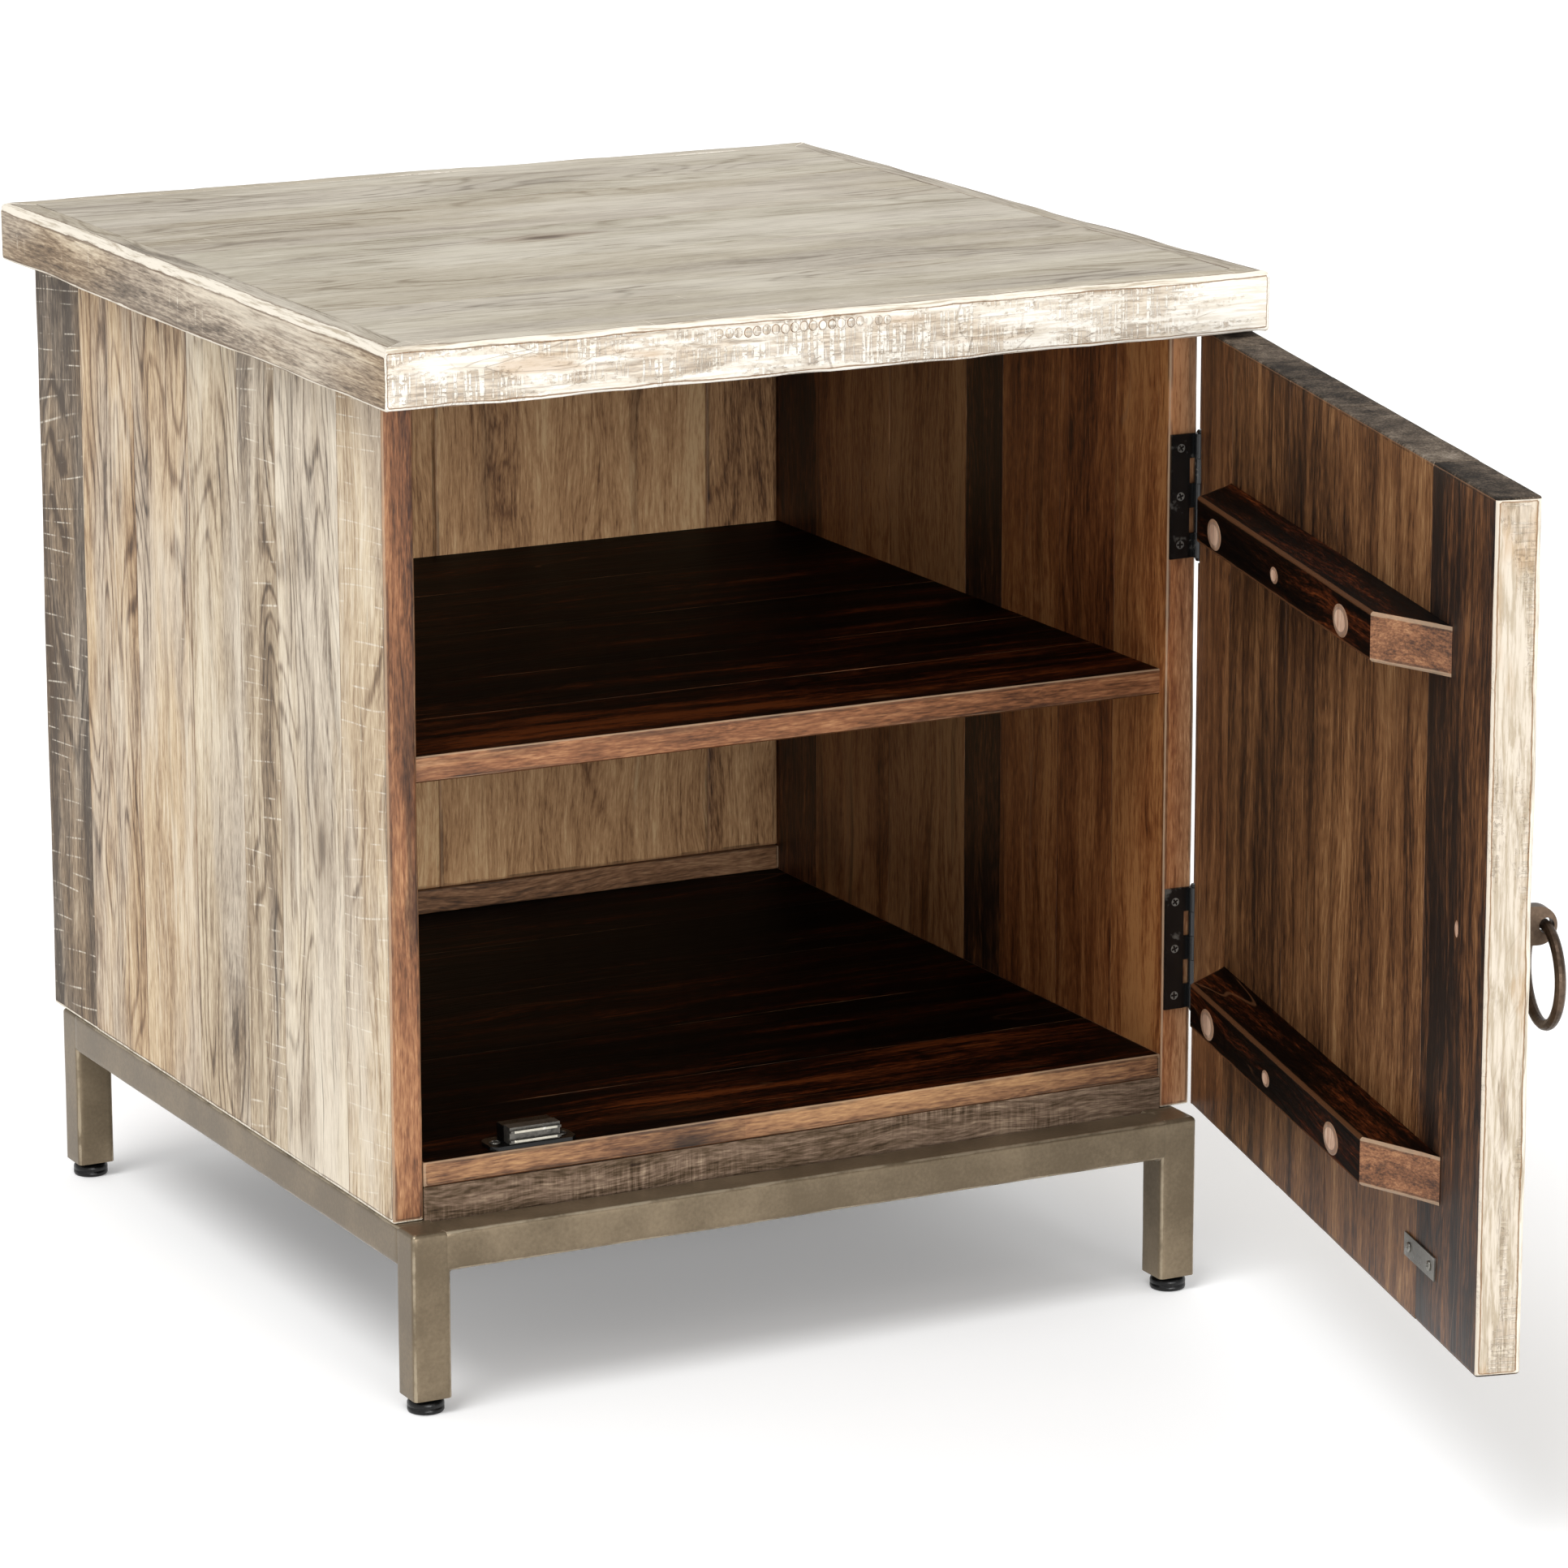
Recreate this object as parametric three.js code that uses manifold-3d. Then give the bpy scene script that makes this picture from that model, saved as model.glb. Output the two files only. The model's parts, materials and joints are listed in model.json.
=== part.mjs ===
// A small storage cabinet: a plank-built wooden box with one shelf and a right-hinged plank door,
// standing on a welded square-tube base with four levelling feet.
//
// Millimetres. +X is to the right of someone facing the door, +Y to the back, +Z up.
// While the pieces are built, x = 0 is the middle of the wooden box, y = 0 its front and z = 0 the floor.
// At the end the whole cabinet is moved so that the origin is the bottom centre of its bounding box.

import * as THREE from 'three';
import { mergeVertices } from 'three/addons/utils/BufferGeometryUtils.js';
import Module from 'manifold-3d';

const wasm = await Module();
wasm.setup();

// ---- Driving dimensions ----

const FIT = 0.3; // gap between pieces that touch on the real cabinet

const BASE_TOP = 116;
const TUBE = 25.4;
const TUBE_WALL = 1.6;
const TUBE_CORNER = 2.6;
const BASE_LEFT = -280;
const BASE_RIGHT = 270.6;
const BASE_FRONT = -28;
const BASE_BACK = 552;
const LEG_BOTTOM = 10;

const BODY_WIDTH = 560;
const BODY_DEPTH = 566;
const SIDE_THICKNESS = 20;
const SLAB_BOTTOM = 628;

const SLAB_THICKNESS = 38;
const SLAB_SIDE_OVERHANG = 20;
const SLAB_FRONT = -52;
const SLAB_BACK = 572;
const EDGE_STRIP_WIDTH = 18;
const TOP_BOARD_THICKNESS = 20;
const TOP_BOARD_COUNT = 5;

const BACK_FACE = 538.6;
const BACK_THICKNESS = 15;
const BACK_RAIL_PROUD = 2.6;
const BACK_RAIL_HEIGHT = 17;
const BACK_PLANK_JOINTS = [-140, -3, 204.5];

const APRON_HEIGHT = 20;
const APRON_THICKNESS = 20;
const FLOOR_THICKNESS = 16;
const SHELF_TOP = 404.6;
const SHELF_THICKNESS = 16.5;
const SHELF_SETBACK = 7.7;
const SHELF_HOUSING = 4;
const TOP_CLEAT = 20;

const DOOR_OPEN = THREE.MathUtils.degToRad(76);
const DOOR_WIDTH = 560;
const DOOR_THICKNESS = 27.5;
const DOOR_GAP = 2.4;
const DOOR_BOTTOM = 118;
const DOOR_TOP = 625;
const DOOR_PLANK_JOINTS = [68, 184, 279, 452];

const BATTEN_HEIGHT = 29;
const BATTEN_THICKNESS = 32;
const BATTEN_CENTRES = { lower: 213.7, upper: 524.1 };
const BATTEN_START = 68;
const BATTEN_END = 492;
const BATTEN_START_BEVEL = 34;
const BATTEN_END_BEVEL = 49;

const HINGE_LENGTH = 80;
const HINGE_CENTRES = { lower: 221.7, upper: 517 };
const BARREL_RADIUS = 3.75;
const KNUCKLE_COUNT = 5;
const LEAF_WIDTH = 20;
const LEAF_THICKNESS = 1.8;
const LEAF_SLOT = 2.9;
const PIN_RADIUS = 1.7;
const HINGE_AXIS = new THREE.Vector2(BODY_WIDTH / 2 + 1, -BARREL_RADIUS);

const PULL_FROM_HINGE = 510;
const PULL_HEIGHT = 368;
const EYE_REACH = 31;
const EYE_RADIUS = 11.4;
const EYE_THICKNESS = 9;
const EYE_HOLE_RADIUS = 4.6;
const EYE_HOLE_FROM_END = 6.3;
const RING_RADIUS = 29.2;
const RING_WIRE_RADIUS = 3.3;

const CATCH_FROM_HINGE = 461;
const STRIKE_HEIGHT = 159.4;

const FOOT_RADIUS = 11.5;
const FOOT_HEIGHT = 8.6;
const STUD_RADIUS = 3.9;

// ---- Finishes ----

const finish = (color, roughness, metalness = 0) =>
  new THREE.MeshStandardMaterial({ color, roughness, metalness });

const whitewashedWood = () => finish(0xc9bda9, 0.75);
const walnutWood = () => finish(0x4a2f20, 0.5);
const bronzedSteel = () => finish(0x7d7362, 0.45, 0.8);
const blackSteel = () => finish(0x1b1c1d, 0.4, 0.7);
const darkBronze = () => finish(0x4b4038, 0.4, 0.8);
const platedSteel = () => finish(0x9a9a96, 0.35, 0.9);
const blackPlastic = () => finish(0x161616, 0.5);

// ---- Geometry helpers ----

/** A box between two limits along each axis. */
function block([x0, x1], [y0, y1], [z0, z1]) {
  const geometry = new THREE.BoxGeometry(x1 - x0, y1 - y0, z1 - z0);
  return geometry.translate((x0 + x1) / 2, (y0 + y1) / 2, (z0 + z1) / 2);
}

/** A shape drawn in the YZ plane, extruded from x0 to x1. */
function extrudeAlongX(shape, x0, x1, curveSegments = 8) {
  const geometry = new THREE.ExtrudeGeometry(shape, { depth: x1 - x0, bevelEnabled: false, curveSegments });
  const y = new THREE.Vector3(0, 1, 0);
  const z = new THREE.Vector3(0, 0, 1);
  const x = new THREE.Vector3(1, 0, 0);
  return geometry.applyMatrix4(new THREE.Matrix4().makeBasis(y, z, x)).translate(x0, 0, 0);
}

/** A shape drawn in the XY plane, extruded from z0 to z1. */
function extrudeAlongZ(shape, z0, z1, curveSegments = 8) {
  const geometry = new THREE.ExtrudeGeometry(shape, { depth: z1 - z0, bevelEnabled: false, curveSegments });
  return geometry.translate(0, 0, z0);
}

/** A solid of revolution about a vertical axis, from [radius, height] points that start and end on it. */
function turned(points, segments = 24) {
  const profile = points.map(([radius, height]) => new THREE.Vector2(radius, height));
  return new THREE.LatheGeometry(profile, segments).rotateX(Math.PI / 2);
}

/** A round bar between two heights. */
function bar(radius, z0, z1, segments = 16) {
  return turned([[0, z0], [radius, z0], [radius, z1], [0, z1]], segments);
}

function polygon(points) {
  return new THREE.Shape(points.map(([a, b]) => new THREE.Vector2(a, b)));
}

function circle(radius, Kind = THREE.Path) {
  return new Kind().absarc(0, 0, radius, 0, 2 * Math.PI, false);
}

/** A square outline with rounded corners, centred on the origin. */
function roundedSquare(size, radius) {
  const reach = size / 2 - radius;
  const outline = new THREE.Shape();
  for (let corner = 0; corner < 4; corner += 1) {
    const start = (corner * Math.PI) / 2;
    const x = reach * (corner === 0 || corner === 3 ? 1 : -1);
    const y = reach * (corner < 2 ? 1 : -1);
    outline.absarc(x, y, radius, start, start + Math.PI / 2, false);
  }
  return outline;
}

function toSolid(geometry) {
  const bare = geometry.clone();
  bare.deleteAttribute('normal');
  bare.deleteAttribute('uv');
  const merged = mergeVertices(bare, 1e-4);
  const vertProperties = new Float32Array(merged.attributes.position.array);
  const triVerts = new Uint32Array(merged.index.array);
  return new wasm.Manifold(new wasm.Mesh({ numProp: 3, vertProperties, triVerts }));
}

function toGeometry(solid) {
  const mesh = solid.getMesh();
  const geometry = new THREE.BufferGeometry();
  geometry.setAttribute('position', new THREE.BufferAttribute(mesh.vertProperties, 3));
  geometry.setIndex(new THREE.BufferAttribute(mesh.triVerts, 1));
  geometry.computeVertexNormals();
  return geometry;
}

function join(first, ...others) {
  const solid = others.reduce((sum, other) => sum.add(toSolid(other)), toSolid(first));
  return toGeometry(solid);
}

function cut(geometry, ...cutters) {
  const solid = cutters.reduce((rest, cutter) => rest.subtract(toSolid(cutter)), toSolid(geometry));
  return toGeometry(solid);
}

function piece(name, geometry, material) {
  const mesh = new THREE.Mesh(geometry, material);
  mesh.name = name;
  return mesh;
}

/** Splits a width at its joints into the two limits of each plank, with a gap between neighbours. */
function planksBetween(start, joints, end, gap = FIT) {
  const limits = [start, ...joints, end];
  return limits.slice(1).map((limit, i) => {
    const low = limits[i] + (i > 0 ? gap / 2 : 0);
    const high = limit - (i < limits.length - 2 ? gap / 2 : 0);
    return [low, high];
  });
}

// ---- Base: a welded frame of square steel tube ----

const CORNERS = [
  { place: 'front_left', x: BASE_LEFT + TUBE / 2, y: BASE_FRONT + TUBE / 2 },
  { place: 'front_right', x: BASE_RIGHT - TUBE / 2, y: BASE_FRONT + TUBE / 2 },
  { place: 'back_left', x: BASE_LEFT + TUBE / 2, y: BASE_BACK - TUBE / 2 },
  { place: 'back_right', x: BASE_RIGHT - TUBE / 2, y: BASE_BACK - TUBE / 2 },
];

const SIDE_BOTTOM = BASE_TOP + FIT;
const INNER_HALF = BODY_WIDTH / 2 - SIDE_THICKNESS;
const BASE_SCREW_X = { left: (BASE_LEFT - INNER_HALF) / 2, right: (BASE_RIGHT + INNER_HALF) / 2 };
const BASE_SCREW_DEPTHS = { front: 120, back: 450 };
const SCREW_RADIUS = 2.1;
const SCREW_LENGTH_IN_WOOD = 24;
const SCREW_HEAD_RADIUS = 4;
const SCREW_HEAD_HEIGHT = 2.4;

function tubeOutlines() {
  const inner = TUBE - 2 * TUBE_WALL;
  return {
    outer: roundedSquare(TUBE, TUBE_CORNER),
    inner: roundedSquare(inner, TUBE_CORNER - TUBE_WALL),
  };
}

/** A leg tube, closed at the top and open at the bottom. */
function leg() {
  const { outer, inner } = tubeOutlines();
  const solidLeg = extrudeAlongZ(outer, LEG_BOTTOM, BASE_TOP, 3);
  const hollow = extrudeAlongZ(inner, LEG_BOTTOM - 1, BASE_TOP - TUBE_WALL, 2);
  return cut(solidLeg, hollow);
}

/** An open-ended rail tube along X, centred on the origin. */
function rail(length) {
  const { outer, inner } = tubeOutlines();
  outer.holes.push(new THREE.Path(inner.getPoints(2).reverse()));
  return extrudeAlongX(outer, -length / 2, length / 2, 3);
}

/** A clearance hole for a base screw, from below the rail up into the side panel. */
function screwHole(x, y) {
  return bar(SCREW_RADIUS + FIT, BASE_TOP - TUBE - 1, SIDE_BOTTOM + SCREW_LENGTH_IN_WOOD + 1, 12)
    .translate(x, y, 0);
}

function baseScrew() {
  const headTop = BASE_TOP - TUBE - FIT / 2;
  return turned([
    [0, headTop - SCREW_HEAD_HEIGHT],
    [SCREW_HEAD_RADIUS * 0.7, headTop - SCREW_HEAD_HEIGHT],
    [SCREW_HEAD_RADIUS, headTop],
    [SCREW_RADIUS, headTop],
    [SCREW_RADIUS, SIDE_BOTTOM + SCREW_LENGTH_IN_WOOD - 4],
    [0, SIDE_BOTTOM + SCREW_LENGTH_IN_WOOD],
  ], 12);
}

/** The plastic plug in a leg's open end, with the hole that the foot's stud turns in. */
function legPlug() {
  const outline = roundedSquare(TUBE - 2 * TUBE_WALL - 2 * FIT, 0.8);
  outline.holes.push(circle(STUD_RADIUS + FIT));
  return extrudeAlongZ(outline, LEG_BOTTOM + FIT, LEG_BOTTOM + 16, 5);
}

/** A levelling foot: a round pad on the floor and the stud above it. */
function levellingFoot() {
  return turned([
    [0, 0],
    [FOOT_RADIUS - 1, 0],
    [FOOT_RADIUS, 1.2],
    [FOOT_RADIUS, FOOT_HEIGHT - 2.4],
    [FOOT_RADIUS - 1.6, FOOT_HEIGHT],
    [STUD_RADIUS, FOOT_HEIGHT],
    [STUD_RADIUS, LEG_BOTTOM + 24],
    [0, LEG_BOTTOM + 25],
  ]);
}

function buildBase() {
  const base = new THREE.Group();
  for (const { place, x, y } of CORNERS) {
    const corner = new THREE.Group();
    corner.add(piece(`base_leg_${place}`, leg(), bronzedSteel()));
    corner.add(piece(`leg_plug_${place}`, legPlug(), blackPlastic()));
    corner.add(piece(`levelling_foot_${place}`, levellingFoot(), blackPlastic()));
    corner.position.set(x, y, 0);
    base.add(corner);
  }

  const railHeight = BASE_TOP - TUBE / 2;
  const acrossLength = BASE_RIGHT - BASE_LEFT - 2 * TUBE - 2 * FIT;
  for (const [place, y] of [['front', CORNERS[0].y], ['back', CORNERS[2].y]]) {
    const tube = piece(`base_rail_${place}`, rail(acrossLength), bronzedSteel());
    tube.position.set((BASE_LEFT + BASE_RIGHT) / 2, y, railHeight);
    base.add(tube);
  }

  const depthLength = BASE_BACK - BASE_FRONT - 2 * TUBE - 2 * FIT;
  for (const [place, x] of [['left', CORNERS[0].x], ['right', CORNERS[1].x]]) {
    const upright = rail(depthLength).rotateZ(Math.PI / 2)
      .translate(x, (BASE_FRONT + BASE_BACK) / 2, railHeight);
    const screwX = BASE_SCREW_X[place];
    const holes = Object.values(BASE_SCREW_DEPTHS).map((y) => screwHole(screwX, y));
    base.add(piece(`base_rail_${place}`, cut(upright, ...holes), bronzedSteel()));
    for (const [depth, y] of Object.entries(BASE_SCREW_DEPTHS)) {
      const screw = piece(`base_screw_${depth}_${place}`, baseScrew(), platedSteel());
      screw.position.set(screwX, y, 0);
      base.add(screw);
    }
  }
  return base;
}

// ---- Body: two side panels, back planks, floor, shelf and the strips that join them ----

const SIDE_TOP = SLAB_BOTTOM + SLAB_THICKNESS - TOP_BOARD_THICKNESS - FIT;
const FLOOR_BOTTOM = SIDE_BOTTOM + APRON_HEIGHT;
const FLOOR_TOP = FLOOR_BOTTOM + FLOOR_THICKNESS;

/** A side panel, notched behind for the slab's back edge strip and housed inside for the shelf. */
function sidePanel(side) {
  const sign = side === 'left' ? -1 : 1;
  const between = (a, b) => [Math.min(sign * a, sign * b), Math.max(sign * a, sign * b)];
  const notchDepth = SLAB_BACK - EDGE_STRIP_WIDTH - FIT;
  const outline = polygon([
    [0, SIDE_BOTTOM],
    [BODY_DEPTH, SIDE_BOTTOM],
    [BODY_DEPTH, SLAB_BOTTOM - FIT],
    [notchDepth, SLAB_BOTTOM - FIT],
    [notchDepth, SIDE_TOP],
    [0, SIDE_TOP],
  ]);
  const panel = extrudeAlongX(outline, ...between(INNER_HALF, BODY_WIDTH / 2));
  const housing = block(
    between(INNER_HALF - 1, INNER_HALF + SHELF_HOUSING),
    [SHELF_SETBACK - FIT, BACK_FACE],
    [SHELF_TOP - SHELF_THICKNESS - FIT, SHELF_TOP + FIT],
  );
  const holes = Object.values(BASE_SCREW_DEPTHS).map((y) => screwHole(BASE_SCREW_X[side], y));
  return cut(panel, housing, ...holes);
}

function buildBody() {
  const body = new THREE.Group();
  const acrossInside = [-INNER_HALF + FIT, INNER_HALF - FIT];

  body.add(piece('side_panel_left', sidePanel('left'), whitewashedWood()));
  body.add(piece('side_panel_right', sidePanel('right'), whitewashedWood()));

  const backRailTop = FLOOR_TOP + BACK_RAIL_HEIGHT;
  const planks = planksBetween(acrossInside[0], BACK_PLANK_JOINTS, acrossInside[1]);
  planks.forEach((width, i) => {
    const plank = block(width, [BACK_FACE, BACK_FACE + BACK_THICKNESS], [backRailTop + FIT, SIDE_TOP]);
    body.add(piece(`back_plank_${i + 1}`, plank, walnutWood()));
  });

  const backRail = block(
    acrossInside,
    [BACK_FACE - BACK_RAIL_PROUD, BACK_FACE + BACK_THICKNESS],
    [FLOOR_TOP + FIT, backRailTop],
  );
  body.add(piece('back_bottom_rail', backRail, walnutWood()));

  const floor = block(acrossInside, [0, BACK_FACE + BACK_THICKNESS], [FLOOR_BOTTOM + FIT, FLOOR_TOP]);
  body.add(piece('bottom_panel', floor, walnutWood()));

  const apron = block(acrossInside, [0, APRON_THICKNESS], [SIDE_BOTTOM, FLOOR_BOTTOM]);
  body.add(piece('front_apron', apron, walnutWood()));

  const bearer = block(
    acrossInside,
    [BACK_FACE + BACK_THICKNESS - APRON_THICKNESS, BACK_FACE + BACK_THICKNESS],
    [SIDE_BOTTOM, FLOOR_BOTTOM],
  );
  body.add(piece('back_floor_bearer', bearer, walnutWood()));

  const shelfEnd = INNER_HALF + SHELF_HOUSING - FIT;
  const shelf = block(
    [-shelfEnd, shelfEnd],
    [SHELF_SETBACK, BACK_FACE - FIT],
    [SHELF_TOP - SHELF_THICKNESS, SHELF_TOP],
  );
  body.add(piece('shelf', shelf, walnutWood()));

  for (const [side, x] of [['left', acrossInside[0]], ['right', acrossInside[1] - TOP_CLEAT]]) {
    const cleat = block([x, x + TOP_CLEAT], [30, BACK_FACE - 20], [SIDE_TOP - TOP_CLEAT, SIDE_TOP]);
    body.add(piece(`top_cleat_${side}`, cleat, walnutWood()));
  }
  return body;
}

// ---- Top: boards inside a mitred frame of edge strips ----

const EDGE_ROUND_TOP = 5;
const EDGE_ROUND_BOTTOM = 2.5;

/** The section of an edge strip: its outer face is at 0, its top and bottom outer edges are rounded. */
function edgeStripSection() {
  const width = EDGE_STRIP_WIDTH;
  const height = SLAB_THICKNESS;
  const section = new THREE.Shape();
  section.moveTo(width, 0);
  section.lineTo(width, height);
  section.lineTo(EDGE_ROUND_TOP, height);
  section.absarc(EDGE_ROUND_TOP, height - EDGE_ROUND_TOP, EDGE_ROUND_TOP, Math.PI / 2, Math.PI, false);
  section.absarc(EDGE_ROUND_BOTTOM, EDGE_ROUND_BOTTOM, EDGE_ROUND_BOTTOM, Math.PI, 1.5 * Math.PI, false);
  return section;
}

/** An edge strip along X with its outer face at y = 0 and both ends mitred at 45 degrees. */
function mitredStrip(length) {
  const geometry = extrudeAlongX(edgeStripSection(), 0, 1, 4);
  const position = geometry.attributes.position;
  for (let i = 0; i < position.count; i += 1) {
    const end = position.getX(i) < 0.5 ? -1 : 1;
    position.setX(i, end * (length / 2 - position.getY(i) - FIT));
  }
  return geometry;
}

function buildTop() {
  const top = new THREE.Group();
  const halfWidth = BODY_WIDTH / 2 + SLAB_SIDE_OVERHANG;
  const middleDepth = (SLAB_FRONT + SLAB_BACK) / 2;
  const strips = [
    { place: 'front', length: 2 * halfWidth, x: 0, y: SLAB_FRONT, turn: 0 },
    { place: 'right', length: SLAB_BACK - SLAB_FRONT, x: halfWidth, y: middleDepth, turn: 1 },
    { place: 'back', length: 2 * halfWidth, x: 0, y: SLAB_BACK, turn: 2 },
    { place: 'left', length: SLAB_BACK - SLAB_FRONT, x: -halfWidth, y: middleDepth, turn: 3 },
  ];
  for (const { place, length, x, y, turn } of strips) {
    const strip = piece(`top_edge_${place}`, mitredStrip(length), whitewashedWood());
    strip.position.set(x, y, SLAB_BOTTOM);
    strip.rotation.z = (turn * Math.PI) / 2;
    top.add(strip);
  }

  const boardsFront = SLAB_FRONT + EDGE_STRIP_WIDTH + FIT;
  const boardsBack = SLAB_BACK - EDGE_STRIP_WIDTH - FIT;
  const boardEnd = halfWidth - EDGE_STRIP_WIDTH - FIT;
  const boardWidth = (boardsBack - boardsFront) / TOP_BOARD_COUNT;
  const joints = Array.from({ length: TOP_BOARD_COUNT - 1 }, (_, i) => boardsFront + (i + 1) * boardWidth);
  const heights = [SIDE_TOP + FIT, SLAB_BOTTOM + SLAB_THICKNESS];
  planksBetween(boardsFront, joints, boardsBack).forEach((depth, i) => {
    const board = block([-boardEnd, boardEnd], depth, heights);
    top.add(piece(`top_board_${i + 1}`, board, whitewashedWood()));
  });
  return top;
}

// ---- Hinges: five-knuckle butt hinges, one leaf on the panel's front edge and one on the door's edge ----

const KNUCKLE_LENGTH = HINGE_LENGTH / KNUCKLE_COUNT;
const KNUCKLE_GAP = 0.3;
const LEAF_FACE = BARREL_RADIUS - 0.2;

/** A leaf on the -X side of the hinge axis, facing +Y, with the knuckles whose numbers are given. */
function hingeLeaf(knuckles) {
  const thickness = [LEAF_FACE - LEAF_THICKNESS, LEAF_FACE];
  const plateEdge = -(BARREL_RADIUS + LEAF_SLOT);
  const plate = block([-LEAF_WIDTH, plateEdge], thickness, [-HINGE_LENGTH / 2, HINGE_LENGTH / 2]);
  const ring = circle(BARREL_RADIUS, THREE.Shape);
  ring.holes.push(circle(PIN_RADIUS + 0.25));
  const parts = [plate];
  for (const knuckle of knuckles) {
    const z0 = -HINGE_LENGTH / 2 + knuckle * KNUCKLE_LENGTH + KNUCKLE_GAP / 2;
    const z1 = z0 + KNUCKLE_LENGTH - KNUCKLE_GAP;
    const tab = block([plateEdge - 1, -PIN_RADIUS], thickness, [z0, z1]);
    parts.push(join(tab, extrudeAlongZ(ring, z0, z1, 9)));
  }
  return join(...parts);
}

function hingePin() {
  const end = HINGE_LENGTH / 2 + KNUCKLE_GAP;
  const headRadius = BARREL_RADIUS - 0.9;
  const headHeight = 1.8;
  return turned([
    [0, -end - headHeight],
    [headRadius - 0.8, -end - headHeight],
    [headRadius, -end],
    [PIN_RADIUS, -end],
    [PIN_RADIUS, end],
    [headRadius, end],
    [headRadius - 0.8, end + headHeight],
    [0, end + headHeight],
  ], 16);
}

function buildCabinetHingeHalves() {
  const halves = new THREE.Group();
  for (const [place, height] of Object.entries(HINGE_CENTRES)) {
    const leaf = piece(`hinge_${place}_cabinet_leaf`, hingeLeaf([0, 2, 4]), blackSteel());
    const pin = piece(`hinge_${place}_pin`, hingePin(), blackSteel());
    leaf.position.z = height;
    pin.position.z = height;
    halves.add(leaf, pin);
  }
  halves.position.set(HINGE_AXIS.x, HINGE_AXIS.y, 0);
  return halves;
}

// ---- Catch: a magnetic catch on the floor and its strike plate on the door ----

const CATCH_X = HINGE_AXIS.x - BARREL_RADIUS - CATCH_FROM_HINGE;
const CATCH_LENGTH = 58;
const CATCH_DEPTH = 22;
const CATCH_FRONT = 0.8;
const CATCH_PLATE_THICKNESS = 2.4;
const MAGNET_LENGTH = 34;

/** The black housing: a base plate with a screw slot in each rounded ear and a block behind the magnet. */
function catchHousing() {
  const earRadius = 7;
  const plate = new THREE.Shape();
  const earX = CATCH_LENGTH / 2 - earRadius;
  plate.absarc(-earX, CATCH_DEPTH - earRadius, earRadius, Math.PI / 2, Math.PI, false);
  plate.lineTo(-CATCH_LENGTH / 2, 4);
  plate.lineTo(-CATCH_LENGTH / 2 + 4, 0);
  plate.lineTo(CATCH_LENGTH / 2 - 4, 0);
  plate.lineTo(CATCH_LENGTH / 2, 4);
  plate.absarc(earX, CATCH_DEPTH - earRadius, earRadius, 0, Math.PI / 2, false);
  for (const sign of [-1, 1]) {
    const slot = new THREE.Path();
    const slotX = sign * (CATCH_LENGTH / 2 - 6.5);
    slot.absarc(slotX, 14, 2, 0, Math.PI, false);
    slot.absarc(slotX, 8, 2, Math.PI, 2 * Math.PI, false);
    plate.holes.push(slot);
  }
  const ears = extrudeAlongZ(plate, 0, CATCH_PLATE_THICKNESS, 5);
  const back = block([-MAGNET_LENGTH / 2, MAGNET_LENGTH / 2], [11, CATCH_DEPTH - 2], [1, 12.5]);
  return join(ears, back);
}

/** The magnet block, with the edges of its two pole plates standing proud at the front. */
function catchMagnet() {
  const front = 2;
  const poleFront = 0;
  const back = 10.6;
  const bottom = CATCH_PLATE_THICKNESS + FIT;
  const top = bottom + 10.6;
  const section = polygon([
    [back, bottom], [back, top], [front, top],
    [front, top - 1.8], [poleFront, top - 1.8], [poleFront, top - 3.4], [front, top - 3.4],
    [front, bottom + 2.8], [poleFront, bottom + 2.8], [poleFront, bottom + 1.2], [front, bottom + 1.2],
    [front, bottom],
  ]);
  return extrudeAlongX(section, -MAGNET_LENGTH / 2, MAGNET_LENGTH / 2);
}

function buildCatch() {
  const group = new THREE.Group();
  group.add(piece('catch_housing', catchHousing(), blackPlastic()));
  const magnet = piece('catch_magnet', catchMagnet(), platedSteel());
  magnet.position.y = -CATCH_FRONT;
  group.add(magnet);
  group.position.set(CATCH_X, CATCH_FRONT, FLOOR_TOP + FIT / 2);
  return group;
}

// ---- Door: built in a frame whose origin is on the hinge axis, as if it were closed ----

const INNER_FACE = -DOOR_GAP - HINGE_AXIS.y;
const OUTER_FACE = INNER_FACE - DOOR_THICKNESS;
const fromHinge = (distance) => -(BARREL_RADIUS + distance);

/** The two faces of a plank or batten, given its distances from the door's hinge edge. */
const spanFromHinge = ([near, far]) => [fromHinge(far), fromHinge(near)];

/** A batten whose ends are bevelled from the planks up to its inner face. */
function batten(height) {
  const back = INNER_FACE + FIT;
  const face = INNER_FACE + FIT + BATTEN_THICKNESS;
  const outline = polygon([
    [fromHinge(BATTEN_END), back],
    [fromHinge(BATTEN_START), back],
    [fromHinge(BATTEN_START + BATTEN_START_BEVEL), face],
    [fromHinge(BATTEN_END - BATTEN_END_BEVEL), face],
  ]);
  return extrudeAlongZ(outline, height - BATTEN_HEIGHT / 2, height + BATTEN_HEIGHT / 2);
}

/** The strike plate for the magnet, with its two domed fixings. */
function strikePlate() {
  const length = 54;
  const width = 14;
  const thickness = 1;
  const domeX = 18;
  const face = INNER_FACE + FIT / 2;
  const plate = block([-length / 2, length / 2], [face, face + thickness], [-width / 2, width / 2]);
  const dome = () => bar(3, 0, 0.5, 14).rotateX(-Math.PI / 2).translate(0, face + thickness - 0.1, 0);
  return join(plate, dome().translate(-domeX, 0, 0), dome().translate(domeX, 0, 0));
}

const POST_RADIUS = 3;
const POST_LENGTH = 20;
const FLANGE_RADIUS = 15;
const FLANGE_THICKNESS = 3;

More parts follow.
